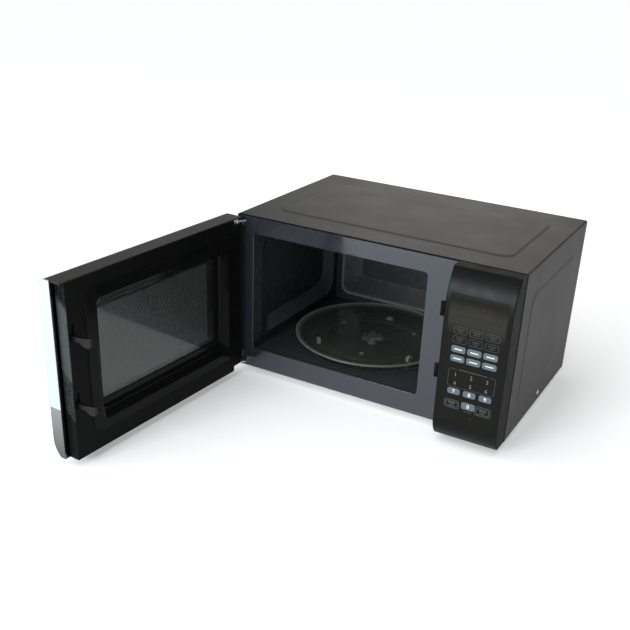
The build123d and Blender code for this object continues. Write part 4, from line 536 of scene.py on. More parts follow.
def key_film(name, rough, grain):
    """Satin film with a brown cast and a very fine grain, with a painted highlight band round the clock and
    painted shade above it.
    """
    f = Finish(name, (0.0085, 0.0080, 0.0070), rough, Specular_IOR_Level=0.10,
               Specular_Tint=(1.0, 0.97, 0.88, 1.0))
    foot = f.shades(f.noise(0.05, detail=2.0), (0.0064, 0.0063, 0.0060), (0.0074, 0.0073, 0.0068))
    # painted highlight: the film is coloured paler in a band round the clock
    middle = f.shades(f.noise(0.05, detail=2.0), (0.0225, 0.0220, 0.0200), (0.0255, 0.0250, 0.0225))
    # painted shade: the film above the band, under the brow, is coloured darker
    top = f.shades(f.noise(0.03), (0.0036, 0.0034, 0.0030), (0.0044, 0.0041, 0.0036))
    painted_band_colour = f.blend(f.remap(f.position("Z"), FILM_HIGHLIGHT_BAND_Z), foot, middle)
    f.colour(f.blend(f.remap(f.position("Z"), FILM_TOP_SHADE_Z), painted_band_colour, top))
    f.roughness(f.noise(0.02, detail=4.0), rough - 0.04, rough + 0.04)
    return f.bump(f.noise(grain), 0.000005)


def membrane():
    return key_film("membrane", 0.40, 0.0004)


def display_lens():
    return key_film("display_lens", 0.39, 0.0005)


def door_front():
    """Satin brown-black door shell with faint sink marks."""
    f = Finish("door_front", (0.0086, 0.0080, 0.0068), 0.3, Specular_IOR_Level=0.30,
               Specular_Tint=(1.0, 0.96, 0.88, 1.0))
    f.colour(f.shades(f.noise(0.06), (0.0075, 0.0070, 0.0060), (0.0097, 0.0090, 0.0077)))
    f.roughness(f.noise(0.03, detail=5.0), 0.26, 0.36)
    return f.bump(f.noise(0.03, detail=1.0), 0.00004)


# Free end of the door frame, whose skin changes over three ranges along a slanting direction: mottled past the
# first, a painted reflection past the second, darker again past the third
END_WALL_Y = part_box("door_frame")[0].y
END_WALL_DEPTH = 0.0006
END_WALL_SLANT = (0.9, 0.0, 1.0)
END_WALL_PLAIN = (-0.143, -0.137)
END_WALL_REFLECTION = (-0.086, -0.080)
END_WALL_DARK = (0.012, 0.022)


def door_plastic():
    """Satin black door frame; its free end has a mottled skin with a painted reflection between two slanting
    lines.
    """
    f = Finish("door_plastic", (0.0052, 0.0054, 0.0052), 0.4, Specular_IOR_Level=0.035)
    end = f.remap(f.position("Y"), (END_WALL_Y + 2 * END_WALL_DEPTH, END_WALL_Y + END_WALL_DEPTH))
    slant = f.along(END_WALL_SLANT)
    speckle = f.remap(f.noise(0.0022, detail=3.0), (0.36, 0.62))
    body = f.shades(f.noise(0.04, detail=3.0), (0.0047, 0.0049, 0.0047), (0.0057, 0.0059, 0.0057))
    mottled = f.shades(speckle, (0.008, 0.0088, 0.009), (0.034, 0.038, 0.039), span=(0.0, 1.0))
    # painted reflection: a bright band of the skin between the second and third slanting lines
    painted_reflection = f.shades(speckle, (0.045, 0.052, 0.054), (0.060, 0.069, 0.071), span=(0.0, 1.0))
    dull = f.shades(speckle, (0.003, 0.0036, 0.004), (0.017, 0.020, 0.022), span=(0.55, 1.0))
    skin = f.blend(f.remap(slant, END_WALL_PLAIN), body, mottled)
    skin = f.blend(f.remap(slant, END_WALL_REFLECTION), skin, painted_reflection)
    skin = f.blend(f.remap(slant, END_WALL_DARK), skin, dull)
    f.colour(f.blend(end, body, skin))
    f.roughness(f.noise(0.012, detail=4.0), 0.34, 0.46)
    return f.bump(f.noise(0.0007, detail=2.0), 0.00002, edge_radius=0.0007)


def choke_plastic():
    """Gloss black plastic of the choke cover and other small black mouldings."""
    f = Finish("choke_plastic", (0.0046, 0.0047, 0.0048), 0.14, Specular_IOR_Level=0.06)
    f.colour(f.shades(f.noise(0.04), (0.0041, 0.0042, 0.0043), (0.0051, 0.0052, 0.0053)))
    f.roughness(f.noise(0.02, detail=5.0), 0.09, 0.2)
    return f.bump(f.noise(0.02, detail=1.0), 0.00003, edge_radius=0.0009)


HOOK_TIP_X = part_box("latch_bar")[1].x
HOOK_TIP_FADE = 0.006


def hook_plastic():
    """Dark grey acetal, brown at the worn tips of the hooks."""
    f = Finish("hook_plastic", (0.0055, 0.0055, 0.0053), 0.38, Specular_IOR_Level=0.18)
    tip = f.remap(f.position("X"), (HOOK_TIP_X - HOOK_TIP_FADE, HOOK_TIP_X))
    body = f.shades(f.noise(0.008, detail=3.0), (0.0042, 0.0043, 0.0042), (0.0068, 0.0068, 0.0066))
    worn = f.shades(f.noise(0.004, detail=3.0), (0.0086, 0.0061, 0.0042), (0.0130, 0.0095, 0.0068))
    f.colour(f.blend(tip, body, worn))
    f.roughness(f.noise(0.012, detail=4.0), 0.34, 0.46)
    return f.bump(f.noise(0.0009, detail=2.0), 0.00003, edge_radius=0.0006)


def white_plastic():
    return moulded("white_plastic", (0.70, 0.68, 0.63), (0.80, 0.79, 0.75), 0.38, 0.0009, 0.00002,
                   Subsurface_Weight=0.1, Subsurface_Scale=0.002)


def ring_plastic():
    return moulded("ring_plastic", (0.040, 0.030, 0.022), (0.055, 0.042, 0.030), 0.42, 0.0008, 0.00003)


def clear_plastic():
    """Milky clear coupler."""
    return moulded("clear_plastic", (0.50, 0.475, 0.42), (0.64, 0.615, 0.55), 0.16, 0.0012, 0.00002,
                   Transmission_Weight=0.45)


def switch_red():
    return moulded("switch_red", (0.46, 0.030, 0.020), (0.58, 0.045, 0.030), 0.35, 0.0008, 0.00002)


def foot_rubber():
    return moulded("foot_rubber", (0.016, 0.016, 0.016), (0.028, 0.028, 0.027), 0.72, 0.0012, 0.00008)


def mica():
    """Pressed mica flakes, silvery brown."""
    f = Finish("mica", (0.40, 0.37, 0.31), 0.4)
    flakes = f.cells(0.004, stretch=(1.0, 1.0, 0.6))
    f.colour(f.shades(flakes, (0.24, 0.21, 0.16), (0.46, 0.42, 0.36), span=(0.1, 0.9)))
    f.roughness(flakes, 0.25, 0.55, span=(0.1, 0.9))
    return f.bump(f.noise(0.003, detail=3.0), 0.00006)


def circuit_board():
    """Green solder resist over copper tracks."""
    f = Finish("circuit_board", (0.02, 0.12, 0.04), 0.3)
    tracks = f.remap(f.cells(0.006, stretch=(1.0, 1.0, 0.35)), (0.45, 0.5))
    f.colour(f.shades(tracks, (0.012, 0.075, 0.026), (0.035, 0.16, 0.055), span=(0.2, 0.8)))
    f.roughness(f.noise(0.004), 0.24, 0.42)
    return f.bump(tracks, 0.00008)


# Glass and film

def glass(name, colour, rough, ior, ripple):
    """Clear glass or film with slight waviness and a trace of wiping haze."""
    f = Finish(name, colour, rough, Transmission_Weight=1.0, IOR=ior)
    f.colour(f.shades(f.noise(0.05), darker(colour, 0.97), colour))
    f.roughness(f.noise(0.025, detail=4.0), rough, rough + 0.03)
    return f.bump(f.noise(0.018, detail=1.0), ripple)


def door_glass():
    return glass("door_glass", (0.228, 0.236, 0.234), 0.01, 1.3, 0.00001)


PLATE_LOW, PLATE_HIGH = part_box("turntable_plate")
PLATE_MIDDLE = (PLATE_LOW + PLATE_HIGH) / 2
PLATE_RADIUS = (PLATE_HIGH.x - PLATE_LOW.x) / 2
PLATE_RIM_HIGHLIGHT_SPAN = (0.93 * PLATE_RADIUS, 0.985 * PLATE_RADIUS)
PLATE_PIP_GLINT_Z = (PLATE_LOW.z + 0.0022, PLATE_LOW.z + 0.0018)


def plate_glass():
    """Clear greenish glass plate, with a painted highlight at its rim and painted glints at its pips."""
    f = Finish("plate_glass", (0.03, 0.04, 0.034), 0.04, IOR=1.9, Alpha=0.36)
    radius = f.distance(PLATE_MIDDLE)
    rim = f.remap(radius, PLATE_RIM_HIGHLIGHT_SPAN)
    body = f.shades(f.noise(0.05), (0.058, 0.066, 0.058), (0.072, 0.081, 0.072))
    # painted highlight: the outer rim is coloured pale, as if it caught the light
    edge = f.shades(f.noise(0.012), (0.33, 0.41, 0.33), (0.43, 0.51, 0.43))
    # painted glints: the pips under the plate are coloured near white
    painted_pip_glint = f.shades(f.noise(0.003), (0.60, 0.62, 0.58), (0.80, 0.82, 0.78))
    f.colour(f.blend(f.remap(f.position("Z"), PLATE_PIP_GLINT_Z), f.blend(rim, body, edge), painted_pip_glint))
    f.roughness(f.noise(0.025, detail=3.0), 0.03, 0.06)
    return f.bump(f.noise(0.018, detail=1.0), 0.00003)


def clear_film():
    return glass("clear_film", (0.92, 0.925, 0.92), 0.02, 1.28, 0.00001)


def lamp_glass():
    return glass("lamp_glass", (0.95, 0.94, 0.90), 0.02, 1.5, 0.00002)


FINISHES = (
    case_paint, front_enamel, cavity_enamel, galvanised, screw_steel, spring_steel, screen_steel, core_iron,
    copper, fin_aluminium, polished_trim, panel_plastic, membrane, display_lens, door_front, door_plastic,
    choke_plastic, hook_plastic, white_plastic, ring_plastic, clear_plastic, switch_red, foot_rubber, mica,
    circuit_board, door_glass, plate_glass, clear_film, lamp_glass,
)
MATERIALS = {make.__name__: make().material for make in FINISHES}
for subpart in frame["record"]["subparts"]:
    NODES[subpart["node"]].material_slots[0].material = MATERIALS[subpart["material_slot"]]
NODES["cavity_left_wall"].material_slots[0].material = vented_enamel().material


# Printing inks

def ink(name, colour, rough, gloss=0.5):
    """Screen-printed ink: slightly uneven cover and gloss."""
    f = Finish(name, colour, rough, Specular_IOR_Level=gloss)
    f.colour(f.shades(f.noise(0.003, detail=3.0), darker(colour, 0.86), colour))
    f.roughness(f.noise(0.004), rough - 0.06, rough + 0.08)
    return f.bump(f.noise(0.0005), 0.00001).material


SLATE_INK = ink("slate_ink", (0.085, 0.117, 0.137), 0.42)
WHITE_INK = ink("white_ink", (0.74, 0.76, 0.77), 0.45)
GREY_INK = ink("grey_ink", (0.150, 0.160, 0.168), 0.45)
PALE_INK = ink("pale_ink", (0.078, 0.095, 0.102), 0.45)
DIM_INK = ink("dim_ink", (0.042, 0.047, 0.050), 0.45)
AMBER_INK = ink("amber_ink", (0.037, 0.0275, 0.0155), 0.4, gloss=0.10)


# Thin pieces made of flat faces

def new_object(name, data):
    """An object in the scene."""
    made = bpy.data.objects.new(name, data)
    bpy.context.scene.collection.objects.link(made)
    return made


def slab(name, faces, place, material, body):
    """A closed thin piece on a surface.

    Faces are loops of (x, z, height) seen from the front, anticlockwise, that share corners. The function
    place(x, z, height) gives the point over the surface, or the piece's sunk back where height is None.
    """
    corners = {}
    points = []

    def corner(x, z, height):
        key = (round(x, MERGE_PLACES), round(z, MERGE_PLACES))
        if key not in corners:
            corners[key] = len(points)
            points.append(place(x, z, height))
            points.append(place(x, z, None))
        return corners[key]

    loops = []
    for face in faces:
        loop = [corner(*point) for point in face]
        loops.append([a for a, b in zip(loop, loop[1:] + loop[:1]) if a != b])
    sides = {(a, b) for loop in loops for a, b in zip(loop, loop[1:] + loop[:1])}
    walls = [(a + 1, b + 1, b, a) for a, b in sorted(sides) if (b, a) not in sides]
    backs = [[i + 1 for i in reversed(loop)] for loop in loops]
    mesh = bpy.data.meshes.new(name)
    mesh.from_pydata(points, [], loops + backs + walls)
    mesh.materials.append(material)
    piece = new_object(name, mesh)
    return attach(piece, body)


def rounded(centre, size, radius):
    """Corner points of a rectangle with round corners, anticlockwise."""
    radius = min(radius, size[0] / 2, size[1] / 2)
    points = []
    for turn, (side_x, side_z) in enumerate(((1, 1), (-1, 1), (-1, -1), (1, -1))):
        x = centre[0] + side_x * (size[0] / 2 - radius)
        z = centre[1] + side_z * (size[1] / 2 - radius)
        for step in range(CORNER_STEPS + 1):
            angle = math.radians(90 * turn + 90 * step / CORNER_STEPS)
            points.append((x + radius * math.cos(angle), z + radius * math.sin(angle)))
    return points


def band(outer, inner, outer_height, inner_height):
    """Four-sided faces between two closed loops of as many points."""
    pairs = list(zip(outer, inner))
    return [
        [(*a, outer_height), (*b, outer_height), (*d, inner_height), (*c, inner_height)]
        for (a, c), (b, d) in zip(pairs, pairs[1:] + pairs[:1])
    ]


def pad(centre, size):
    """A filled key: a sloped edge and a flat top."""
    outer = rounded(centre, size, KEY_CORNER)
    inner = rounded(centre, (size[0] - 2 * PAD_SLOPE, size[1] - 2 * PAD_SLOPE), KEY_CORNER - PAD_SLOPE)
    return band(outer, inner, INK_HEIGHT, PAD_HEIGHT) + [[(*point, PAD_HEIGHT) for point in inner]]


def frame_line(centre, size, radius=KEY_CORNER):
    """The outline of a key."""
    inner_size = (size[0] - 2 * OUTLINE_STROKE, size[1] - 2 * OUTLINE_STROKE)
    return band(rounded(centre, size, radius), rounded(centre, inner_size, radius - OUTLINE_STROKE),
                INK_HEIGHT, INK_HEIGHT)


def bar(centre, length, height, stroke=BAR_STROKE):
    """A level bar with round ends."""
    return [[(*point, height) for point in rounded(centre, (length, stroke), stroke / 2)]]


def digit_faces(digit, centre, tall, grow, height):
    """Faces of one digit in the plain built-in typeface, sized by its height."""
    text = bpy.data.curves.new("digit", "FONT")
    text.body = str(digit)
    text.resolution_u = DIGIT_CURVE_STEPS
    text.offset = grow
    holder = new_object("digit", text)
    flat = bpy.data.meshes.new_from_object(holder.evaluated_get(bpy.context.evaluated_depsgraph_get()))
    low = [min(v.co[i] for v in flat.vertices) for i in (0, 1)]
    high = [max(v.co[i] for v in flat.vertices) for i in (0, 1)]
    scale = tall / (high[1] - low[1])
    spots = [
        (centre[0] + scale * (v.co.x - (low[0] + high[0]) / 2),
         centre[1] + scale * (v.co.y - (low[1] + high[1]) / 2), height)
        for v in flat.vertices
    ]
    faces = [[spots[i] for i in polygon.vertices] for polygon in flat.polygons]
    bpy.data.objects.remove(holder)
    bpy.data.curves.remove(text)
    bpy.data.meshes.remove(flat)
    return faces


def plain_digit(digit, centre):
    return digit_faces(digit, centre, PLAIN_DIGIT_HEIGHT, PLAIN_DIGIT_GROW, INK_HEIGHT)


def bold_digit(digit, centre):
    return digit_faces(digit, centre, BOLD_DIGIT_HEIGHT, BOLD_DIGIT_GROW, PAD_HEIGHT + INK_HEIGHT)


# Key film: every print lies on the film and the lens, found by looking at them from the front

def front_tree(*names):
    """The faces of some nodes, ready to be probed with rays."""
    points, loops = [], []
    for name in names:
        start = len(points)
        points += [vertex.co.copy() for vertex in NODES[name].data.vertices]
        loops += [[start + i for i in polygon.vertices] for polygon in NODES[name].data.polygons]
    return BVHTree.FromPolygons(points, loops)


FILM_TREE = front_tree("keypad_membrane", "display_window")


def on_film(x, z, height):
    """A point above the film, or the sunk back below it, from millimetres on the film."""
    start = Vector((FILM_LOW.x + x * MM, FILM_LOW.y - PROBE_START * MM, FILM_LOW.z + z * MM))
    spot, normal, _, _ = FILM_TREE.ray_cast(start, Vector((0, 1, 0)))
    lift = -INK_SINK if height is None else height
    return spot + normal * (lift * MM)


def film_print(name, faces, material):
    return slab(name, faces, on_film, material, "cabinet")


def bracket():
    """The line round the plain digits, open at the top where the title bar stands."""
    centre = (sum(BRACKET_X) / 2, sum(BRACKET_Z) / 2)
    size = (BRACKET_X[1] - BRACKET_X[0], BRACKET_Z[1] - BRACKET_Z[0])
    ring = frame_line(centre, size, BRACKET_CORNER)
    top = BRACKET_Z[1] - 2 * OUTLINE_STROKE
    kept = [face for face in ring if min(z for _, z, _ in face) < top or
            max(x for x, _, _ in face) - min(x for x, _, _ in face) < BRACKET_CORNER]
    z = BRACKET_Z[1] - OUTLINE_STROKE / 2
    left = (BRACKET_X[0] + BRACKET_CORNER, BRACKET_GAP[0])
    right = (BRACKET_GAP[1], BRACKET_X[1] - BRACKET_CORNER)
    for ends in (left, right):
        kept += bar((sum(ends) / 2, z), ends[1] - ends[0], INK_HEIGHT, OUTLINE_STROKE)
    return kept


def raised_print(name, faces):
    """Print on top of the filled keys, sunk only into the pad below it."""

    def on_pad(x, z, height):
        return on_film(x, z, PAD_HEIGHT - INK_HEIGHT if height is None else height)

    return slab(name, faces, on_pad, WHITE_INK, "cabinet")


def key_print():
    """All prints of the film, gathered into one piece for each ink and height."""
    pads, outlines, small_bars, action = [], [], [], []
    plain_digits, bold_digits, bold_bars = [], [], []
    for row in OUTLINE_KEY_ROWS:
        for column in KEY_COLUMNS:
            outlines += frame_line((column, row), OUTLINE_KEY_SIZE)
            for rise, length in zip(OUTLINE_BAR_RISES, OUTLINE_BAR_LENGTHS):
                small_bars += bar((column, row + rise), length, INK_HEIGHT)
    for row in SLATE_KEY_ROWS:
        for column in KEY_COLUMNS:
            pads += pad((column, row), SLATE_KEY_SIZE)
            bold_bars += bar((column, row), SLATE_BAR_LENGTH, PAD_HEIGHT + INK_HEIGHT, SLATE_BAR_STROKE)
    for column, digit in zip(KEY_COLUMNS, (7, 8, 9)):
        pads += pad((column, DIGIT_KEY_ROW), DIGIT_KEY_SIZE)
        bold_digits += bold_digit(digit, (column, DIGIT_KEY_ROW))
    pads += pad(ZERO_KEY_AT, ZERO_KEY_SIZE)
    bold_digits += bold_digit(0, ZERO_KEY_AT)
    small_bars += bar((ZERO_KEY_AT[0], ZERO_KEY_AT[1] - ZERO_BAR_DROP), ZERO_BAR_LENGTH, INK_HEIGHT)
    for row, digits in zip(PLAIN_DIGIT_ROWS, ((1, 2, 3), (4, 5, 6))):
        for column, digit in zip(KEY_COLUMNS, digits):
            plain_digits += plain_digit(digit, (column, row))
    for centre, size in ((STOP_KEY_AT, STOP_KEY_SIZE), (START_KEY_AT, START_KEY_SIZE)):
        inner_size = (size[0] - 2 * ACTION_INNER_INSET, size[1] - 2 * ACTION_INNER_INSET)
        action += frame_line(centre, size)
        action += frame_line(centre, inner_size, ACTION_INNER_CORNER)
        for rise, length, stroke in ACTION_BARS:
            action += bar((centre[0], centre[1] + rise), length, INK_HEIGHT, stroke)
    outlines += bracket()
    gap_length = BRACKET_GAP[1] - BRACKET_GAP[0] - 2 * BRACKET_BAR_CLEARANCE
    small_bars += bar((sum(BRACKET_GAP) / 2, BRACKET_Z[1]), gap_length, INK_HEIGHT, BRACKET_BAR_STROKE)
    dot = rounded(LAMP_DOT_AT, (2 * LAMP_DOT_RADIUS, 2 * LAMP_DOT_RADIUS), LAMP_DOT_RADIUS)
    plain_digits += [[(*point, INK_HEIGHT) for point in dot]]
    film_print("key_pads", pads, SLATE_INK)
    film_print("key_outlines", outlines, DIM_INK)
    film_print("key_small_bars", small_bars, DIM_INK)
    film_print("action_keys", action, PALE_INK)
    film_print("key_digits_plain", plain_digits, GREY_INK)
    raised_print("key_digits_bold", bold_digits)
    raised_print("key_bars_bold", bold_bars)


def clock_digits():
    """Four unlit seven-segment digits, all segments shown, slanted a little."""
    wide, tall = CLOCK_DIGIT_SIZE
    half, gap = CLOCK_STROKE / 2, CLOCK_SPLIT
    faces = []
    for place in range(CLOCK_DIGITS):
        left = CLOCK_LEFT + place * CLOCK_PITCH
        rows = [CLOCK_BOTTOM + half, CLOCK_BOTTOM + tall / 2, CLOCK_BOTTOM + tall - half]
        ends = (left + half, left + wide - half)
        strokes = [((ends[0], z), (ends[1], z)) for z in rows]
        strokes += [((x, rows[i]), (x, rows[i + 1])) for x in ends for i in (0, 1)]
        for (x0, z0), (x1, z1) in strokes:
            along = Vector((x1 - x0, z1 - z0)).normalized()
            across = Vector((-along.y, along.x)) * half
            start = Vector((x0, z0)) + along * gap
            end = Vector((x1, z1)) - along * gap
            loop = [start, start + along * half - across, end - along * half - across,
                    end, end - along * half + across, start + along * half + across]
            faces.append([(p.x + CLOCK_SLANT * (p.y - CLOCK_BOTTOM), p.y, INK_HEIGHT) for p in loop])
    film_print("clock_digits", faces, AMBER_INK)


key_print()
clock_digits()


# Perforated door screen, laid out with the door closed and swung open with it

def door_swing():
    """The turn from the closed door to the door at rest."""
    hinge = next(joint for joint in frame["joints"] if joint["name"] == "door_hinge")
    axis = Matrix.Translation(Vector(hinge["pos_m"]))
    return axis @ Matrix.Rotation(math.radians(hinge["range_deg"][0]), 4, "Z") @ axis.inverted()


def door_screen():
    """The screen's sheet with its rows of holes, in place of the plain sheet."""
    swing = door_swing()
    closed = [swing.inverted() @ vertex.co for vertex in NODES["door_screen"].data.vertices]
    low = Vector([min(p[i] for p in closed) for i in range(3)])
    high = Vector([max(p[i] for p in closed) for i in range(3)])
    left = low.x + SCREEN_BORDER_HINGE
    bottom = low.z + SCREEN_BORDER_LOW
    columns = int((high.x - SCREEN_BORDER_FREE - left) / SCREEN_COLUMN_PITCH)
    half = SCREEN_ROW_PITCH / 2  # every second column starts half a row higher
    rows = int((high.z - SCREEN_BORDER_HIGH - bottom - half) / SCREEN_ROW_PITCH)
    edges = [left + i * SCREEN_COLUMN_PITCH for i in range(columns + 1)]
    levels = [bottom + j * half for j in range(2 * rows + 2)]
    faces = []

    def patch(*points):
        faces.append([(x, z, 0.0) for x, z in points])

    for i in range(columns):
        x0, x1 = edges[i], edges[i + 1]
        first = i % 2
        shift = -SCREEN_PAIR_SHIFT if first else SCREEN_PAIR_SHIFT
        for j in range(rows):
            z0, z1, z2 = levels[first + 2 * j: first + 2 * j + 3]
            rim = [(x1, z1), (x1, z2), (x0, z2), (x0, z1), (x0, z0), (x1, z0)]
            middle = Vector(((x0 + x1) / 2 + shift, z1))
            hole = [middle + (Vector(p) - middle).normalized() * SCREEN_HOLE_RADIUS for p in rim]
            for k in range(len(rim)):
                n = (k + 1) % len(rim)
                patch(rim[k], rim[n], tuple(hole[n]), tuple(hole[k]))
        if first:
            patch((x0, levels[0]), (x1, levels[0]), (x1, levels[1]), (x0, levels[1]))
        else:
            patch((x0, levels[-2]), (x1, levels[-2]), (x1, levels[-1]), (x0, levels[-1]))
        patch((x0, low.z), (x1, low.z), (x1, levels[0]), (x0, levels[0]))
        patch((x0, levels[-1]), (x1, levels[-1]), (x1, high.z), (x0, high.z))
    heights = [low.z, *levels, high.z]
    for z0, z1 in zip(heights, heights[1:]):
        patch((low.x, z0), (edges[0], z0), (edges[0], z1), (low.x, z1))
        patch((edges[-1], z0), (high.x, z0), (high.x, z1), (edges[-1], z1))
    middle_y = (low.y + high.y) / 2

    def on_door(x, z, height):
        depth = SCREEN_SHEET / 2 if height is None else -SCREEN_SHEET / 2
        return swing @ Vector((x, middle_y + depth, z))

    piece = slab("perforated_screen", faces, on_door, MATERIALS["screen_steel"], "door")
    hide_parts("door_screen")


door_screen()


# Cross-head screws

def lathe(profile, sides):
    """A turned solid about Z from (radius, z) points that start and end on the axis."""
    mesh = bmesh.new()
    turns = [math.tau * i / sides for i in range(sides)]
    rings = []
    for radius, z in profile:
        if radius == 0:
            rings.append([mesh.verts.new((0, 0, z))] * sides)
        else:
            rings.append([mesh.verts.new((radius * math.cos(a), radius * math.sin(a), z)) for a in turns])
    for low, high in zip(rings, rings[1:]):
        for i in range(sides):
            n = (i + 1) % sides
            loop = [low[i], low[n], high[n], high[i]]
            mesh.faces.new(list(dict.fromkeys(loop)))
    return mesh


def mesh_object(name, mesh):
    """An object in the scene from an edited mesh, with its faces turned outwards."""
    data = bpy.data.meshes.new(name)
    bmesh.ops.recalc_face_normals(mesh, faces=mesh.faces)
    mesh.to_mesh(data)
    mesh.free()
    return new_object(name, data)


def cross_cutter():
    """A tapered cross that cuts the driver recess into the top of a head."""
    half = CROSS_WIDTH / 2
    quarter = [(CROSS_ARM, -half), (CROSS_ARM, half), (half, half)]
    outline = []
    for _ in range(4):
        outline += quarter
        quarter = [(-y, x) for x, y in quarter]
    top_z = SCREW_HEAD_HEIGHT + CROSS_DEPTH
    low_z = SCREW_HEAD_HEIGHT - CROSS_DEPTH
    mesh = bmesh.new()
    top = [mesh.verts.new((x, y, top_z)) for x, y in outline]
    low = [mesh.verts.new((x * CROSS_TAPER, y * CROSS_TAPER, low_z)) for x, y in outline]
    mesh.faces.new(top)
    mesh.faces.new(low[::-1])
    for i in range(len(outline)):
        n = (i + 1) % len(outline)
        mesh.faces.new((low[i], low[n], top[n], top[i]))
    return mesh_object("cross_cutter", mesh)


def screw_mesh():
    """One pan-head screw along Z, its head on top of z = 0."""
    dome = []
    for degrees in range(0, 91, SCREW_DOME_STEP_DEG):
        angle = math.radians(degrees)
        height_share = 1.0 - SCREW_DOME_SHARE + SCREW_DOME_SHARE * math.cos(angle)
        dome.append((SCREW_HEAD_RADIUS * math.sin(angle), SCREW_HEAD_HEIGHT * height_share))
    profile = [*dome, (SCREW_HEAD_RADIUS, 0.0), (SCREW_SHANK_RADIUS, 0.0),
               (SCREW_SHANK_RADIUS, -SCREW_SHANK_LENGTH), (0, -SCREW_SHANK_LENGTH)]
    screw = mesh_object("screw", lathe(profile, SCREW_SIDES))
    cutter = cross_cutter()
    cut = screw.modifiers.new("recess", "BOOLEAN")
    cut.operation = "DIFFERENCE"
    cut.solver = "EXACT"
    cut.object = cutter
    graph = bpy.context.evaluated_depsgraph_get()
    made = bpy.data.meshes.new_from_object(screw.evaluated_get(graph))
    for used in (screw, cutter):
        bpy.data.objects.remove(used)
    return made


def screws(name, node, places):
    """Screws at (point, outward direction, turn in degrees) that stand for one node's plain screws."""
    single = screw_mesh()
    mesh = bmesh.new()
    for point, outward, turn in places:
        start = len(mesh.verts)
        mesh.from_mesh(single)
        mesh.verts.ensure_lookup_table()
        stand = Vector(outward).to_track_quat("Z", "X").to_matrix().to_4x4()
        put = Matrix.Translation(point) @ stand @ Matrix.Rotation(math.radians(turn), 4, "Z")
        bmesh.ops.transform(mesh, matrix=put, verts=mesh.verts[start:])
    bpy.data.meshes.remove(single)
    piece = mesh_object(name, mesh)
    piece.data.materials.append(MATERIALS["screw_steel"])
    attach(piece, "cabinet")
    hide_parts(node)


SIDE_LOW, SIDE_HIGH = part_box("side_screws")
SIDE_MIDDLE = (SIDE_LOW + SIDE_HIGH) / 2
SIDE_SEAT = SIDE_HIGH.x - SCREW_HEAD_HEIGHT
screws("side_screw_heads", "side_screws", [
    ((side * SIDE_SEAT, SIDE_MIDDLE.y, SIDE_MIDDLE.z), (side, 0, 0), turn)
    for side, turn in zip((1, -1), SIDE_SCREW_TURNS_DEG)
])
REAR_LOW, REAR_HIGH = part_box("rear_screws")
REAR_X = (REAR_LOW.x + SCREW_HEAD_RADIUS, REAR_HIGH.x - SCREW_HEAD_RADIUS)
REAR_Z = (REAR_LOW.z + SCREW_HEAD_RADIUS, REAR_HIGH.z - SCREW_HEAD_RADIUS)
REAR_CORNERS = [(x, z) for z in REAR_Z for x in REAR_X]
screws("rear_screw_heads", "rear_screws", [
    ((x, REAR_HIGH.y - SCREW_HEAD_HEIGHT, z), (0, 1, 0), turn)
    for (x, z), turn in zip(REAR_CORNERS, REAR_SCREW_TURNS_DEG)
])


# Latch spring

def latch_coil():
    """A coil of round wire in place of the plain spring."""
    low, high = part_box("latch_spring")
    middle = (low + high) / 2
    radius = (high.x - low.x) / 2 - COIL_WIRE_RADIUS
    foot = low.z + COIL_WIRE_RADIUS
    rise = high.z - low.z - 2 * COIL_WIRE_RADIUS
    steps = round(rise / COIL_PITCH * COIL_STEPS)
    mesh = bmesh.new()
    rings = []
    for step in range(steps + 1):
        turn = math.tau * step / COIL_STEPS
        out = Vector((math.cos(turn), math.sin(turn), 0.0))
        centre = Vector((middle.x, middle.y, foot + rise * step / steps)) + radius * out
        ring = []
        for side in range(COIL_SIDES):
            angle = math.tau * side / COIL_SIDES
            across = math.cos(angle) * out + math.sin(angle) * Vector((0.0, 0.0, 1.0))
            ring.append(mesh.verts.new(centre + COIL_WIRE_RADIUS * across))
        rings.append(ring)
    for first, second in zip(rings, rings[1:]):
        for side in range(COIL_SIDES):
            after = (side + 1) % COIL_SIDES
            mesh.faces.new((first[side], first[after], second[after], second[side]))
    mesh.faces.new(rings[0])
    mesh.faces.new(rings[-1])
    piece = mesh_object("latch_coil", mesh)
    for face in piece.data.polygons:
        face.use_smooth = True
    piece.data.materials.append(MATERIALS["spring_steel"])
    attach(piece, "door")
    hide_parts("latch_spring")
    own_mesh(piece)


latch_coil()


# Studio: pale floor, even sky, one very wide key light and soft boxes

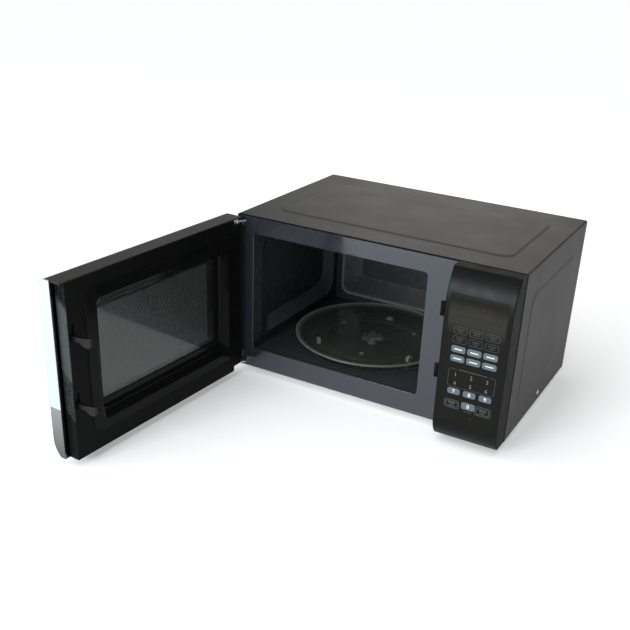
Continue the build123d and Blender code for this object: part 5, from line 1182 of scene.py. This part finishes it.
def studio_floor():
    mesh = bmesh.new()
    bmesh.ops.create_circle(mesh, cap_ends=True, segments=FLOOR_SIDES, radius=FLOOR_RADIUS)
    floor = mesh_object("studio_floor", mesh)
    f = Finish("studio_floor", FLOOR_LIGHT, 0.8, Specular_IOR_Level=0.0)
    f.shader.inputs["Emission Color"].default_value = (1.0, 1.0, 1.0, 1.0)
    f.shader.inputs["Emission Strength"].default_value = FLOOR_GLOW
    f.colour(f.shades(f.noise(0.02, detail=2.0), FLOOR_DARK, FLOOR_LIGHT))
    floor.data.materials.append(f.material)


def place_light(name, data, at):
    holder = new_object(name, data)
    holder.location = at
    return holder


def studio_light():
    world = bpy.data.worlds.new("studio_sky")
    world.use_nodes = True
    sky = world.node_tree.nodes["Background"]
    sky.inputs["Color"].default_value = (*WORLD_COLOUR, 1.0)
    sky.inputs["Strength"].default_value = WORLD_STRENGTH
    bpy.context.scene.world = world
    sun = bpy.data.lights.new("key_light", "SUN")
    sun.energy = KEY_LIGHT_STRENGTH
    sun.angle = math.radians(KEY_LIGHT_ANGLE_DEG)
    key = place_light("key_light", sun, KEY_LIGHT_AT)
    key.rotation_euler = [math.radians(a) for a in KEY_LIGHT_TURN_DEG]
    key.visible_glossy = False  # its disc isn't mirrored in glossy faces
    for name, at, target, width, height, watts, colour in SOFT_BOXES:
        box = bpy.data.lights.new(name, "AREA")
        box.shape = "RECTANGLE"
        box.size, box.size_y = width, height
        box.energy = watts
        box.color = colour
        aim = Vector(target) - Vector(at)
        place_light(name, box, at).rotation_euler = aim.to_track_quat("-Z", "Y").to_euler()


def studio_camera():
    data = bpy.data.cameras.new("camera")
    data.sensor_width = CAMERA_SENSOR_MM
    data.lens = CAMERA_LENS_MM
    data.shift_x, data.shift_y = CAMERA_SHIFT
    data.clip_end = CAMERA_REACH
    camera = new_object("camera", data)
    camera.location = CAMERA_AT
    camera.rotation_euler = [math.radians(a) for a in CAMERA_TURN_DEG]
    bpy.context.scene.camera = camera


studio_floor()
studio_light()
studio_camera()
bpy.context.scene.view_settings.view_transform = "Standard"
